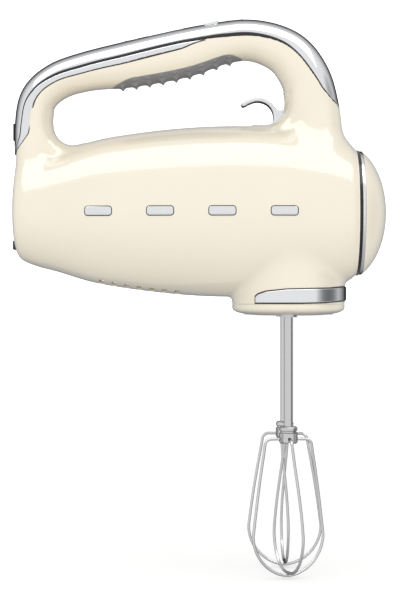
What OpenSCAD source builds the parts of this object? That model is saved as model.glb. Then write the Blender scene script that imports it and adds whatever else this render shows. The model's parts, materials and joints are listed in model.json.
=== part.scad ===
// Hand mixer with two wire whisks, a loop handle and a lift-to-eject lever.
// +X points to the nose, +Z up, and the machine is symmetric about Y = 0 apart from its drive.
// Shapes are drawn from the heel plane (X = 0) and the underside of the gear head (Z = 0),
// and in_frame() moves them so that the origin is the centre of the hand grip.

/* [Housing] */
// Width of the body
body_w = 87; // [85:0.5:90]
// Wall of the two shells
wall = 2.4; // [2:0.1:2.8]
// Width of the handle where the palm rests
grip_w = 31; // [29:0.5:33]
/* [Whisks] */
// Distance between the two whisk axes
spindle_gap = 45; // [45:0.5:46]
// Widest radius of a whisk, to the middle of its wire
whisk_r = 20.8; // [18:0.1:21.2]
// Diameter of the whisk wire
wire_d = 1.6; // [1.4:0.1:1.8]
// Length of a whisk below the gear head
whisk_reach = 144; // [130:1:150]
// Diameter of the whisk shaft
shaft_d = 5; // [4.6:0.1:5]
/* [Drive] */
// Teeth on each worm wheel, twice an odd number so that both wheels mesh at rest
wheel_teeth = 30; // [26:4:34]
// Radius of the motor can
motor_r = 24; // [22:0.5:24.5]
/* [Eject lever] */
// Width of the eject lever
lever_w = 11; // [9:0.5:12]
/* [Hidden] */

cream = [0.93, 0.90, 0.80];
chrome = [0.80, 0.81, 0.83];
black = [0.05, 0.05, 0.05];
grey_rubber = [0.50, 0.50, 0.53];
steel = [0.72, 0.73, 0.74];
nylon = [0.88, 0.88, 0.84];
copper = [0.75, 0.42, 0.22];
bronze = [0.72, 0.58, 0.30];

// Main places
grip_centre = [91, 0, 145.5];   // the origin of the finished part
axis_z = 57.5;                  // height of the motor axis
nose_x = 192;                   // where the body meets its nose
spindle_x = 153.5;
spindle_y = spindle_gap / 2;
head_x = 154.5;                 // centre of the round gear head
head_r = 31.6;
cap_h = 6.4;                    // height of the cap that closes the gear head
gland_z = 59.5;                 // height of the cord inlet
rod_y = 27;                     // the motor's tie rods stand this far from its axis

// Body stations from heel to nose: [x, middle z, half height, half width]
body_half = body_w / 2;
body_stations = [
    [1.0, 58.0, 19.0, 0.48 * body_half], [2.4, 57.8, 23.5, 0.58 * body_half],
    [6, 57.5, 27.0, 0.66 * body_half], [14, 57.3, 30.0, 0.73 * body_half],
    [25, 57.6, 33.2, 0.79 * body_half], [45, 58.2, 39.7, 0.87 * body_half],
    [70, 58.3, 44.0, 0.94 * body_half], [100, 58.3, 47.1, 0.99 * body_half],
    [130, 58.3, 47.9, body_half], [155, 58.2, 46.2, 0.98 * body_half],
    [175, 57.8, 42.3, 0.93 * body_half], [187, 57.5, 38.6, 0.875 * body_half],
    [nose_x, 57.5, 35.2, 35.2]
];
// Handle stations from the rear pillar over the top to the front pillar: [x, z, half depth, half width]
grip_half = grip_w / 2;
handle_stations = [
    [13.0, 66, 12.0, 19], [11.8, 88, 10.9, 17], [11.0, 106, 10.2, grip_half],
    [14.0, 121.5, 10.2, grip_half], [24.5, 131.4, 10.3, grip_half],
    [41, 137.0, 10.9, grip_half], [66, 141.4, 12.8, grip_half],
    [95, 147.4, 13.4, grip_half], [117.5, 153.2, 11.6, grip_half],
    [132.5, 154.6, 11.4, grip_half], [146.5, 151.2, 12.3, grip_half],
    [157, 144.2, 13.3, grip_half], [164.8, 131.4, 14.0, 16.5],
    [168.2, 115.5, 14.9, 18], [168.6, 100, 16.6, 21.5], [168, 80, 19.5, 26]
];
body_power = 2.15;      // roundness of the body's sections: 2 is an ellipse, more is squarer
handle_power = 2.3;

// ---- curves -------------------------------------------------------------------------------
function between(a, b, t) = a + (b - a) * t;
function curve(p0, p1, p2, p3, t) =
    0.5 * (2 * p1 + (p2 - p0) * t + (2 * p0 - 5 * p1 + 4 * p2 - p3) * t * t
        + (3 * p1 - p0 - 3 * p2 + p3) * t * t * t);
// A smooth curve through the stations: u runs from 0 to the last index
function along(stations, u) =
    let (last = len(stations) - 1, i = min(max(floor(u), 0), last - 1))
    curve(stations[max(i - 1, 0)], stations[i], stations[i + 1], stations[min(i + 2, last)], u - i);
function signed_power(v, p) = sign(v) * pow(abs(v), p);
function oval(angle, power) = [signed_power(cos(angle), 2 / power), signed_power(sin(angle), 2 / power)];
function arc(centre, r, from, to, steps) =
    [for (i = [0:steps]) let (a = from + (to - from) * i / steps) centre + r * [cos(a), sin(a)]];

// One ring of the body, shrunk by inset
function body_ring(u, inset, sides) =
    let (s = along(body_stations, u))
    [for (i = [0:sides - 1]) let (o = oval(360 * i / sides, body_power))
        [s[0], (s[3] - inset) * o[0], s[1] + (s[2] - inset) * o[1]]];

// Outward direction of the handle's centre line at u, in X and Z
function handle_out(u) =
    let (d = along(handle_stations, u + 0.01) - along(handle_stations, u - 0.01), n = norm([d[0], d[1]]))
    [-d[1] / n, d[0] / n];
// A point on the handle at u: angle 0 is the outside of the loop, 180 the inside.
// lift stands off the surface.
function handle_point(u, angle, lift) =
    let (s = along(handle_stations, u), out = handle_out(u), o = oval(angle, handle_power))
    [s[0] + out[0] * (s[2] + lift) * o[0], -(s[3] + lift) * o[1], s[1] + out[1] * (s[2] + lift) * o[0]];
function handle_ring(u, lift, sides) = [for (i = [0:sides - 1]) handle_point(u, 360 * i / sides, lift)];
handle_last = len(handle_stations) - 1.02;
body_last = len(body_stations) - 1;

// ---- solids from rings --------------------------------------------------------------------
module loft(rings) {
    n = len(rings[0]);
    m = len(rings);
    points = [for (r = rings, p = r) p];
    sides = [for (i = [0:m - 2], j = [0:n - 1], k = [0, 1])
        let (a = i * n + j, b = i * n + (j + 1) % n)
        k == 0 ? [a, a + n, b] : [b, a + n, b + n]];
    ends = [[for (j = [0:n - 1]) j], [for (j = [n - 1:-1:0]) (m - 1) * n + j]];
    polyhedron(points, concat(sides, ends));
}

// A curved plate on the handle between two edges, given as functions of u that return angles
module handle_plate(places, low_edge, high_edge, across, low, high) {
    loft([for (u = places) let (a = low_edge(u), b = high_edge(u))
        concat([for (j = [0:across]) handle_point(u, between(a, b, j / across), high)],
            [for (j = [across:-1:0]) handle_point(u, between(a, b, j / across), low)])]);
}

// Keeps a sculpted shape as one mesh without changing its size
module sculpted() { resize([0, 0, 0]) children(); }
module in_frame() { translate(-grip_centre) children(); }
module both_sides() { children(); mirror([0, 1, 0]) children(); }
module along_x(x, z = axis_z) { translate([x, 0, z]) rotate([0, 90, 0]) children(); }

// ---- shells -------------------------------------------------------------------------------
body_rings = 28;
handle_rings = 42;
head_top = 34;
handle_wall = 3.4;
function oval_ring(half_x, half_y, z, sides, x = head_x) =
    [for (i = [0:sides - 1]) let (a = 360 * i / sides) [x + half_x * cos(a), half_y * sin(a), z]];

module head(inset, bottom) {
    loft([for (z = [bottom, head_top]) oval_ring(head_r - inset, 36 - inset, z, 48)]);
}
// A curved web rounds off each lower corner of the hand opening. It follows an arc in X and Z
// and is an oval across.
web_depth = 14;
module web(centre, r, from, to, half_w, inset) {
    depth = web_depth / 2 - inset;
    loft([for (i = [0:6]) let (a = between(from, to, i / 6), out = [cos(a), sin(a)])
        [for (j = [0:11]) let (b = 30 * j, q = r + web_depth / 2 - depth * cos(b))
            [centre[0] + out[0] * q, -(half_w - inset) * sin(b), centre[1] + out[1] * q]]]);
}
module webs(inset) {
    web([36.9, 111], 16.6, 178, 272, 14, inset);
    web([136.8, 121.7], 16.4, 268, 362, 14, inset);
}
module body_outer() {
    webs(0);
    loft([for (i = [0:body_rings]) body_ring(body_last * i / body_rings, 0, 32)]);
    loft([for (i = [0:handle_rings]) handle_ring(handle_last * i / handle_rings, 0, 20)]);
    head(0, cap_h);
}
module body_inner() {
    rings = [for (i = [0:14]) body_ring(between(1.4, body_last, i / 14), wall, 20)];
    mouth = [for (p = rings[14]) p + [4, 0, 0]];
    loft(concat(rings, [mouth]));
    loft([for (i = [0:24]) handle_ring(between(0.4, handle_last, i / 24), -handle_wall, 14)]);
    webs(3);
    head(wall, 0);
}

// Two ribs grip the motor can
rib_places = [57, 92];
module ribs() {
    for (x = rib_places) difference() {
        intersection() {
            loft([for (i = [0:5]) body_ring(between(4, 9, i / 5), wall / 2, 20)]);
            translate([x, -60, 0]) cube([2.2, 120, 120]);
        }
        along_x(x - 1) cylinder(r = motor_r + 0.4, h = 5, $fn = 48);
        for (y = [-rod_y, rod_y]) translate([0, y, 0]) along_x(x - 1) cylinder(r = 3, h = 5, $fn = 16);
    }
}

// The trim's edges, as angles around the handle: [u, cap, black seal, side rail]
trim_stations = [
    [1.15, 4, 7, 14], [1.3, 22, 26, 44], [1.48, 42, 46, 66], [1.7, 54, 57.5, 83], [2.1, 58, 61, 88],
    [2.6, 61, 64, 89], [3.1, 70, 74, 91], [3.9, 77, 83, 95], [4.8, 80, 86, 98], [5.6, 75.5, 81.5, 93],
    [6.4, 70.5, 77, 88.5], [7, 69.5, 76, 86.5], [7.3, 71.5, 78.5, 82.5], [7.6, 74, 82, 82],
    [8.3, 79, 88, 88], [9.3, 80, 87.5, 87.5], [10.2, 79.5, 84.5, 84.5], [11, 80, 83.5, 83.5],
    [11.8, 76.5, 79.5, 79.5], [12.4, 66, 69, 69], [12.8, 45, 48.5, 48.5], [13, 22, 26, 26], [13.1, 4, 7, 7]
];
trim_from = 1.15;
trim_to = 13.1;
rail_to = 7.45;         // the side rail ends here, on top of the handle
trim_depth = 1.7;
groove_gap = 0.4;       // room under a piece that lies in a groove of the shells
function ramp(u, from, to) = let (t = (u - from) / (to - from)) t <= 0 ? 0 : t >= 1 ? 1 : sin(90 * t);
trim_index = [for (i = [0:len(trim_stations) - 1]) [trim_stations[i][0], i]];
function trim_at(u) = along(trim_stations, lookup(u, trim_index));
trim_places = [
    1.05, 1.15, 1.22, 1.3, 1.39, 1.48, 1.59, 1.7, 1.9, 2.1, 2.35, 2.6, 2.85, 3.1, 3.5, 3.9, 4.3, 4.8, 5.2,
    5.6, 6, 6.4, 6.7, 7, 7.15, 7.3, 7.45, 7.7, 8, 8.3, 8.8, 9.3, 9.8, 10.3, 10.8, 11.3, 11.8, 12.1,
    12.4, 12.6, 12.8, 12.9, 13, 13.1, 13.2
];
function trim_span(from, to) = [for (u = trim_places) if (u > from - 0.01 && u < to + 0.01) u];
function trim_edge(u) = trim_at(u)[1];
function seal_edge(u) = trim_at(u)[2];
function rail_edge(u) = 0.3 + trim_at(u)[3];
module trim_groove() {
    handle_plate(trim_places, function(u) -rail_edge(u) - 2, function(u) rail_edge(u) + 2, 10,
        -trim_depth - groove_gap, 5);
}
// The upper foot stands in a pocket across the trim
module upper_foot_pocket() { translate([-4, -4.2, 97.8]) cube([5.3, 8.4, 9.9]); }

// The grip pad's edge, measured from the inside of the loop
pad_from = 5.55;
pad_to = 8.65;
pad_depth = 1.4;
function pad_edge(u) =
    3 + 45 * pow(ramp(u, pad_from - 0.02, 6), 0.8) * pow(ramp(u, pad_to + 0.02, 7.9), 0.8);
function pad_span(past) = [for (i = [0:16]) between(pad_from - past, pad_to + past, i / 16)];
module pad_groove() {
    handle_plate(pad_span(0.06), function(u) 178 - pad_edge(u), function(u) 182 + pad_edge(u), 8,
        -pad_depth - groove_gap, 5);
}

// Places the top controls: local Z points out of the handle, local X along it
module on_handle(u, lift = 0) {
    p = handle_point(u, 0, lift);
    out = handle_out(u);
    translate(p) rotate([0, atan2(out[0], out[1]), 0]) children();
}
module rounded_block(size, r, z = 0) {
    translate([0, 0, z]) linear_extrude(size[2]) round_rect(size[0], size[1], r);
}
module round_rect(w, d, r, fn = 16) {
    square([w - 2 * r, d], center = true);
    square([w, d - 2 * r], center = true);
    for (x = [-1, 1], y = [-1, 1]) translate([x * (w / 2 - r), y * (d / 2 - r)]) circle(r, $fn = fn);
}
power_u = 6.12;
display_u = 6.75;
speed_u = 7.8;
turbo_u = 8.48;
button_gap = 0.35;
button_travel = 0.8;
power_size = [9, 9];
speed_size = [8.4, 8.6];
turbo_size = [9, 11];
display_size = [21, 13];
speed_y = 4.9;                  // the two speed buttons stand this far from the middle
module opening(u, size, gap, r) {
    on_handle(u) rounded_block([size[0] + 2 * gap, size[1] + 2 * gap, 9], r, -6);
}
module control_openings() {
    opening(power_u, power_size, button_gap, 3);
    opening(display_u, display_size, 0, 2);
    for (y = [-speed_y, speed_y]) translate([0, y, 0]) opening(speed_u, speed_size, button_gap, 2);
    opening(turbo_u, turbo_size, button_gap, 3);
}

// Slot in the front pillar for the eject lever, and its pivot
pivot = [158.4, 112];
slot_low = 105.6;
slot_high = 124.4;
module lever_slot() {
    translate([140, -lever_w / 2 - 0.6, slot_low]) cube([20, lever_w + 1.2, slot_high - slot_low]);
}
// Bosses for the lever's pin stand on the pillar's side walls
pin_r = 1.6;
pin_length = 18;
module across(x, z) { translate([x, 0, z]) rotate([90, 0, 0]) children(); }
module pin_bosses() {
    for (side = [-1, 1]) translate([0, side * (lever_w / 2 + 2.6), 0]) across(pivot[0], pivot[1])
        cylinder(r = 3, h = 4, center = true, $fn = 20);
}

// Two rows of air slots in the underside, one each side of the middle
module vents() {
    for (i = [0:6], side = [-1, 1]) translate([50 + 7 * i, side * 8, 17]) cube([2.8, 12, 24], center = true);
}
module foot_pockets() {
    translate([2.1, 0, 39.3]) cube([2.4, 12.4, 5.4], center = true);
    along_x(-2, gland_z) cylinder(r = 6.55, h = 8, $fn = 32);
}
// Four plain bars stand in a row on each side
badge_places = [49.5, 83.2, 116.9, 150.6];
badge_size = [14.4, 4.8];
badge_z = 57;
module badge_shape(grow) {
    for (x = badge_places) translate([x, badge_z])
        round_rect(badge_size[0] + 2 * grow, badge_size[1] + 2 * grow, 1.5 + grow, 8);
}
// The bars follow the body's side, from below its surface to just proud of it
module side_bars(grow, deep, proud) {
    steps = 20;
    intersection() {
        rotate([90, 0, 0]) linear_extrude(120, center = true) badge_shape(grow);
        loft([for (i = [0:steps])
            let (u = between(4, 10.6, i / steps), s = along(body_stations, u), y = s[3])
            [[s[0], y - deep, badge_z - 6], [s[0], y + proud, badge_z - 6],
                [s[0], y + proud, badge_z + 6], [s[0], y - deep, badge_z + 6]]]);
    }
}

module shell(side) {
    color(cream) in_frame() sculpted() intersection() {
        difference() {
            union() {
                difference() { body_outer(); body_inner(); }
                ribs();
                pin_bosses();
            }
            trim_groove();
            pad_groove();
            control_openings();
            lever_slot();
            across(pivot[0], pivot[1])
                cylinder(r = pin_r + 0.1, h = pin_length + 0.4, center = true, $fn = 20);
            vents();
            foot_pockets();
            both_sides() side_bars(0.15, 0.9, 3);
        }
        translate([-20, side > 0 ? 0.02 : -80.02, 0]) cube([240, 80, 200]);
    }
}
module left_shell() { shell(1); }
module right_shell() { shell(-1); }

// ---- trim and outer pieces ----------------------------------------------------------------
module nose_ring_shape(from, to, grow, inset) {
    along_x(from) linear_extrude(to - from) difference() {
        nose_oval(grow);
        nose_oval(-inset);
    }
}
// The nose's oval, drawn across and upwards
nose_half = [35.2, 32];
module nose_oval(grow) {
    polygon([for (i = [0:63]) let (a = 360 * i / 64)
        [(nose_half[0] + grow) * cos(a), (nose_half[1] + grow) * sin(a)]]);
}
gasket_h = 1.8;
ring_h = 2;
module nose_gasket() { color(black) in_frame() nose_ring_shape(nose_x, nose_x + gasket_h, 0.1, 6); }
module nose_ring() {
    color(chrome) in_frame() nose_ring_shape(nose_x + gasket_h, nose_x + gasket_h + ring_h, -0.4, 6);
}
// The domed cap in front of the ring: its section is part of a circle, flattened
dome_depth = 13.6;
dome_bend = 1.1;        // the circle's radius, as a share of the cap's half height
module nose_cap() {
    base = nose_x + gasket_h + ring_h;
    function rise(r) = sqrt(pow(dome_bend, 2) - pow(r, 2));
    function dome_ring(r, inset, depth) =
        let (t = (rise(r) - rise(1)) / (rise(0) - rise(1)))
        [for (i = [0:35]) let (a = 360 * i / 36)
            [base + depth * t, (nose_half[1] - inset) * r * cos(a),
                axis_z + (nose_half[0] - inset) * r * sin(a)]];
    places = [1, 0.9, 0.78, 0.65, 0.5, 0.35, 0.2, 0.08];
    color(cream) in_frame() sculpted() difference() {
        loft([for (r = places) dome_ring(r, 0.9, dome_depth)]);
        translate([-1, 0, 0]) loft([for (r = places) dome_ring(r, 3.2, dome_depth - 1.6)]);
    }
}

module top_trim() {
    color(chrome) in_frame() sculpted() difference() {
        handle_plate(trim_span(trim_from, trim_to),
            function(u) -trim_edge(u), function(u) trim_edge(u), 8, -trim_depth, 0);
        control_openings();
        upper_foot_pocket();
    }
}
module edge_strips(low, high, to, across, top) {
    both_sides() difference() {
        handle_plate(trim_span(trim_from, to), low, high, across, -trim_depth, top);
        upper_foot_pocket();
    }
}
module trim_seal() {
    color(black) in_frame() sculpted()
        edge_strips(function(u) trim_edge(u) + 1, function(u) seal_edge(u) - 0.7, trim_to, 1, -0.4);
}
module side_rails() {
    color(chrome) in_frame() sculpted()
        edge_strips(function(u) seal_edge(u) + 0.3, function(u) rail_edge(u), rail_to, 3, 0);
}
module grip_pad() {
    color(grey_rubber) in_frame() sculpted() {
        handle_plate(pad_span(0), function(u) 180 - pad_edge(u), function(u) 180 + pad_edge(u), 6,
            -pad_depth, 0);
        // Three rows of pointed bumps under the fingers
        for (i = [0:8], row = [-1, 0, 1]) {
            u = between(pad_from + 0.35, pad_to - 0.38, i / 8);
            out = handle_out(u);
            translate(handle_point(u, 180 + row * 0.55 * pad_edge(u), -1))
                rotate([0, 180 + atan2(out[0], out[1]), 0]) cylinder(r1 = 2, r2 = 0.5, h = 2.6, $fn = 5);
        }
    }
}
module display_lens() {
    color([0.03, 0.03, 0.04]) in_frame() on_handle(display_u)
        rounded_block([display_size[0] - 0.3, display_size[1] - 0.3, 1.6], 1.9, -1.8);
}
module display_module() {
    color([0.2, 0.3, 0.32]) in_frame() on_handle(display_u)
        translate([0, 0, -4.2]) cube([18, 10, 4], center = true);
}
// A cap with a stem that reaches its switch
module button(u, size, y = 0) {
    in_frame() translate([0, y, 0]) on_handle(u) {
        rounded_block([size[0], size[1], 2.2], 2, -2);
        translate([0, 0, -board_depth + switch_h + button_travel + 0.4]) cylinder(d = 3.6, h = 4, $fn = 24);
    }
}
board_depth = 8.4;
switch_h = 2.2;
module power_button() { color(chrome) button(power_u, power_size); }
module minus_button() { color(chrome) button(speed_u, speed_size, -speed_y); }
module plus_button() { color(chrome) button(speed_u, speed_size, speed_y); }
module turbo_button() { color(chrome) button(turbo_u, turbo_size); }
// The board lies along the chord under the controls
module control_board() {
    color([0.1, 0.35, 0.18]) in_frame() {
        on_handle(power_u, -board_depth) translate([0, 0, -0.8]) cube([13, 15, 1.6], center = true);
        on_handle(display_u, -board_depth) translate([0, 0, -0.8]) cube([24, 15, 1.6], center = true);
        on_handle(speed_u, -board_depth) translate([0, 0, -0.8]) cube([13, 15, 1.6], center = true);
        on_handle(turbo_u, -board_depth) translate([0, 0, -0.8]) cube([11, 15, 1.6], center = true);
    }
}
module key_switches() {
    color(black) in_frame() {
        for (u = [power_u, turbo_u]) on_handle(u, -board_depth) switch_body();
        for (y = [-speed_y, speed_y]) translate([0, y, 0]) on_handle(speed_u, -board_depth) switch_body();
    }
}
module switch_body() {
    translate([0, 0, 0.75]) cube([6, 6, 1.5], center = true);
    cylinder(d = 3.4, h = switch_h, $fn = 24);
}

// The cap's underside swells down to its middle: [height, how far in from the rim]
base_profile = [
    [0, 16], [0.35, 10], [0.95, 6], [1.5, 3.6], [2.2, 1.8], [3.1, 0.6], [4.2, 0], [cap_h - 0.1, 0]
];
module base_cap() {
    color(cream) in_frame() difference() {
        loft([for (s = base_profile) oval_ring(head_r - s[1], 36 - s[1], s[0], 48)]);
        translate([0, 0, 3]) linear_extrude(10)
            polygon([for (p = oval_ring(head_r - 2.4, 33.6, 0, 40)) [p[0], p[1]]]);
        both_sides() translate([spindle_x, spindle_y, -1]) cylinder(r = spindle_r + 0.7, h = 10, $fn = 48);
        for (p = base_screw_places) translate([p[0], p[1], -1]) {
            cylinder(r = 1.6, h = 10, $fn = 24);
            cylinder(r = 3, h = 2.4, $fn = 24);
        }
    }
}
base_screw_places = [[head_x - 22, 0], [head_x + 22, 0], [head_x, -12], [head_x, 12]];
module base_screws() {
    color(steel) in_frame() for (p = base_screw_places) translate([p[0], p[1], 0]) difference() {
        union() {
            translate([0, 0, 0.4]) cylinder(r = 2.7, h = 1, $fn = 32);
            translate([0, 0, 0.4]) cylinder(r = 1.4, h = 13, $fn = 24);
        }
        for (a = [0, 90]) rotate([0, 0, a]) cube([3.2, 0.7, 1.8], center = true);
    }
}
// A crescent of chrome round the front and sides of the gear head, just above its cap
module head_band() {
    color(chrome) in_frame() intersection() {
        difference() {
            translate([0, 0, cap_h + 0.6]) linear_extrude(12)
                polygon([for (p = oval_ring(head_r + 0.9, 36.9, 0, 64)) [p[0], p[1]]]);
            translate([0, 0, cap_h]) linear_extrude(14)
                polygon([for (p = oval_ring(head_r + 0.25, 36.25, 0, 64)) [p[0], p[1]]]);
        }
        rotate([90, 0, 0]) linear_extrude(100, center = true) polygon([
            [135, cap_h + 0.6], [135, 9.8], [135.8, 10.9], [137.8, 12.2], [142, 13.4], [152, 14.3],
            [166, 14.6], [177, 14.9], [188, 16.2], [188, cap_h + 2], [172, cap_h + 0.9], [160, cap_h + 0.6]
        ]);
    }
}
module heel_foot_upper() {
    color(black) in_frame() translate([0, -4, 98]) cube([1.25, 8, 9.5]);
}
module heel_foot_lower() {
    color(black) in_frame() translate([0, -6, 36.8]) cube([3.3, 12, 5]);
}
module cord_gland() {
    color(cream) in_frame() difference() {
        union() {
            along_x(0.1, gland_z) cylinder(r = 4.9, h = 0.6, $fn = 48);
            along_x(0.6, gland_z) cylinder(r = 6.4, h = 11, $fn = 48);
        }
        along_x(-2, gland_z) cylinder(r = 3.4, h = 16, $fn = 48);
    }
}
module badge_bars() { color(chrome) in_frame() sculpted() both_sides() side_bars(0, 0.8, 0.5); }

// ---- motor --------------------------------------------------------------------------------
motor_from = 50;
motor_to = 100;
shaft_r = 3;
bush_r = 6;
can_wall = 1.6;
module tube_x(x, length, outer, inner, fn = 64) {
    along_x(x) difference() {
        cylinder(r = outer, h = length, $fn = fn);
        translate([0, 0, -1]) cylinder(r = inner, h = length + 2, $fn = fn);
    }
}
module rod_ears(x, thick) {
    for (y = [-rod_y, rod_y]) along_x(x) translate([0, y, 0]) difference() {
        translate([-4, y > 0 ? -7 : -4, 0]) cube([8, 11, thick]);
        translate([0, 0, -1]) cylinder(r = 1.65, h = thick + 2, $fn = 24);
    }
}
module motor_can() {
    color(steel) in_frame() {
        tube_x(motor_from, motor_to - motor_from, motor_r, motor_r - can_wall);
        tube_x(motor_from, can_wall, motor_r - can_wall / 2, bush_r);
        tube_x(motor_from - 5, 6.6, bush_r + 1.6, bush_r);
        rod_ears(motor_from, can_wall);
    }
}
module motor_magnets() {
    color([0.2, 0.2, 0.22]) in_frame() for (side = [0, 180]) along_x(58) rotate([0, 0, side - 62])
        rotate_extrude(angle = 124, $fn = 96) translate([motor_r - can_wall - 4.1, 0]) square([4, 30]);
}
module motor_end_bell() {
    color(nylon) in_frame() {
        tube_x(motor_to, 3.4, motor_r, bush_r);
        tube_x(motor_to - 2, 8, bush_r + 2, bush_r);
        rod_ears(motor_to, 3.4);
    }
}
module carbon_brushes() {
    color([0.12, 0.12, 0.12]) in_frame() for (side = [0, 180]) along_x(93) rotate([0, 0, side])
        translate([-2.5, commutator_r + 0.35, -3]) cube([5, 9, 6]);
}
commutator_r = 8;
module motor_rods() {
    color(steel) in_frame() for (y = [-rod_y, rod_y]) along_x(motor_from - 2.2) translate([0, y, 0]) {
        cylinder(r = 1.5, h = 84, $fn = 24);
        cylinder(r = 3, h = 2, $fn = 6);
    }
}
// Laminated stack with slots and the windings' heads
module armature() {
    color(copper) in_frame() {
        along_x(60) linear_extrude(26) difference() {
            circle(motor_r - can_wall - 5, $fn = 96);
            circle(shaft_r + 0.02, $fn = 48);
            for (i = [0:11]) rotate(30 * i) translate([11, -0.9]) square([8, 1.8]);
        }
        tube_x(54, 6, 13, shaft_r + 0.02);
        tube_x(86, 3, 13, shaft_r + 0.02);
    }
}
module commutator() {
    color(copper) in_frame() along_x(89.1) linear_extrude(8) difference() {
        circle(commutator_r, $fn = 64);
        circle(shaft_r + 0.02, $fn = 48);
        for (i = [0:11]) rotate(30 * i) translate([7, -0.3]) square([2, 0.6]);
    }
}
shaft_from = 44;
shaft_to = 180.5;
module motor_shaft() {
    color(steel) in_frame() along_x(shaft_from) cylinder(r = shaft_r, h = shaft_to - shaft_from, $fn = 48);
}
module shaft_bearings() {
    color(bronze) in_frame()
        for (x = [46, 99, 173.5]) tube_x(x, 6, bush_r - 0.02, shaft_r + 0.04, 48);
}
module cooling_fan() {
    color(nylon) in_frame() {
        tube_x(110.5, 10, 6, shaft_r + 0.02, 48);
        tube_x(110.5, 1.2, 22.5, 5.5);
        for (i = [0:8]) along_x(111) rotate([0, 0, 40 * i]) translate([5.5, -0.6, 0]) rotate([0, 0, 12])
            cube([16.5, 1.2, 9]);
    }
}

// ---- worm drive ---------------------------------------------------------------------------
worm_r = 7.5;                                        // pitch radius of the worm
wheel_r = spindle_y - worm_r;                        // pitch radius of each wheel
module_size = 2 * wheel_r / wheel_teeth;
lead = PI * module_size;                             // the single thread's advance in one turn
worm_length = 24;
module worm() {
    turns = worm_length / lead - 1;
    steps = 10;
    half_root = lead * 0.30;
    half_tip = lead * 0.10;
    root = worm_r - module_size;
    tip = worm_r + 0.8 * module_size;
    color([0.78, 0.78, 0.80]) in_frame() sculpted() difference() {
        thread = [[-half_root, root - 0.3], [half_root, root - 0.3], [half_tip, tip], [-half_tip, tip]];
        union() {
            along_x(spindle_x - worm_length / 2) cylinder(r = root + 0.05, h = worm_length, $fn = 24);
            loft([for (i = [0:turns * steps])
                let (turn = i / steps - turns / 2, a = 360 * turn, x = spindle_x + lead * turn)
                [for (q = thread) [x + q[0], q[1] * cos(a), axis_z + q[1] * sin(a)]]]);
        }
        along_x(spindle_x - worm_length) cylinder(r = shaft_r + 0.02, h = 2 * worm_length, $fn = 24);
    }
}
wheel_h = 7;
// Teeth are thinned for running clearance; turn sets where the first one points
module worm_wheel(turn) {
    translate([spindle_x, 0, axis_z]) rotate([0, 0, turn]) {
        difference() {
            translate([0, 0, -wheel_h / 2]) linear_extrude(wheel_h) polygon([
                for (i = [0:wheel_teeth - 1], q = [[-0.27, -1.05], [-0.10, 0.8], [0.10, 0.8], [0.27, -1.05]])
                let (a = 360 * (i + q[0]) / wheel_teeth) (wheel_r + q[1] * module_size) * [cos(a), sin(a)]]);
            cylinder(r = spindle_r + 0.02, h = 40, center = true, $fn = 64);
            for (i = [0:5]) rotate([0, 0, 60 * i]) translate([10, 0, 0])
                cylinder(r = 1.8, h = 20, center = true, $fn = 24);
        }
        difference() {
            cylinder(r = 7.2, h = 12, center = true, $fn = 48);
            cylinder(r = spindle_r + 0.02, h = 40, center = true, $fn = 64);
        }
    }
}
module worm_wheel_left() { color(nylon) in_frame() translate([0, spindle_y, 0]) worm_wheel(0); }
module worm_wheel_right() {
    color(nylon) in_frame() translate([0, -spindle_y, 0]) worm_wheel(180 / wheel_teeth);
}

// ---- spindles and their frame ---------------------------------------------------------------
spindle_r = 5;
socket_r = shaft_d / 2 + 0.05;
spindle_from = -0.9;
spindle_to = 77;
module at_left() { translate([spindle_x, spindle_y, 0]) children(); }
module at_right() { translate([spindle_x, -spindle_y, 0]) children(); }
module tube_z(z, length, outer, inner, fn = 64) {
    translate([0, 0, z]) difference() {
        cylinder(r = outer, h = length, $fn = fn);
        translate([0, 0, -1]) cylinder(r = inner, h = length + 2, $fn = fn);
    }
}
key_top = 8.8;
// The slot across a spindle's foot takes the two ears of a whisk's shaft
module spindle() {
    difference() {
        tube_z(spindle_from, spindle_to - spindle_from, spindle_r, socket_r);
        translate([-6, -0.9, -3]) cube([12, 1.8, key_top + 3.2]);
    }
}
module spindle_left() { color(steel) in_frame() at_left() spindle(); }
module spindle_right() { color(steel) in_frame() at_right() spindle(); }
bush_outer = 7;
module bushes(z) {
    color(bronze) in_frame() both_sides() at_left()
        tube_z(z, 6, bush_outer - 0.02, spindle_r + 0.04);
}
module lower_bushes() { bushes(14); }
module upper_bushes() { bushes(68); }

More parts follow.
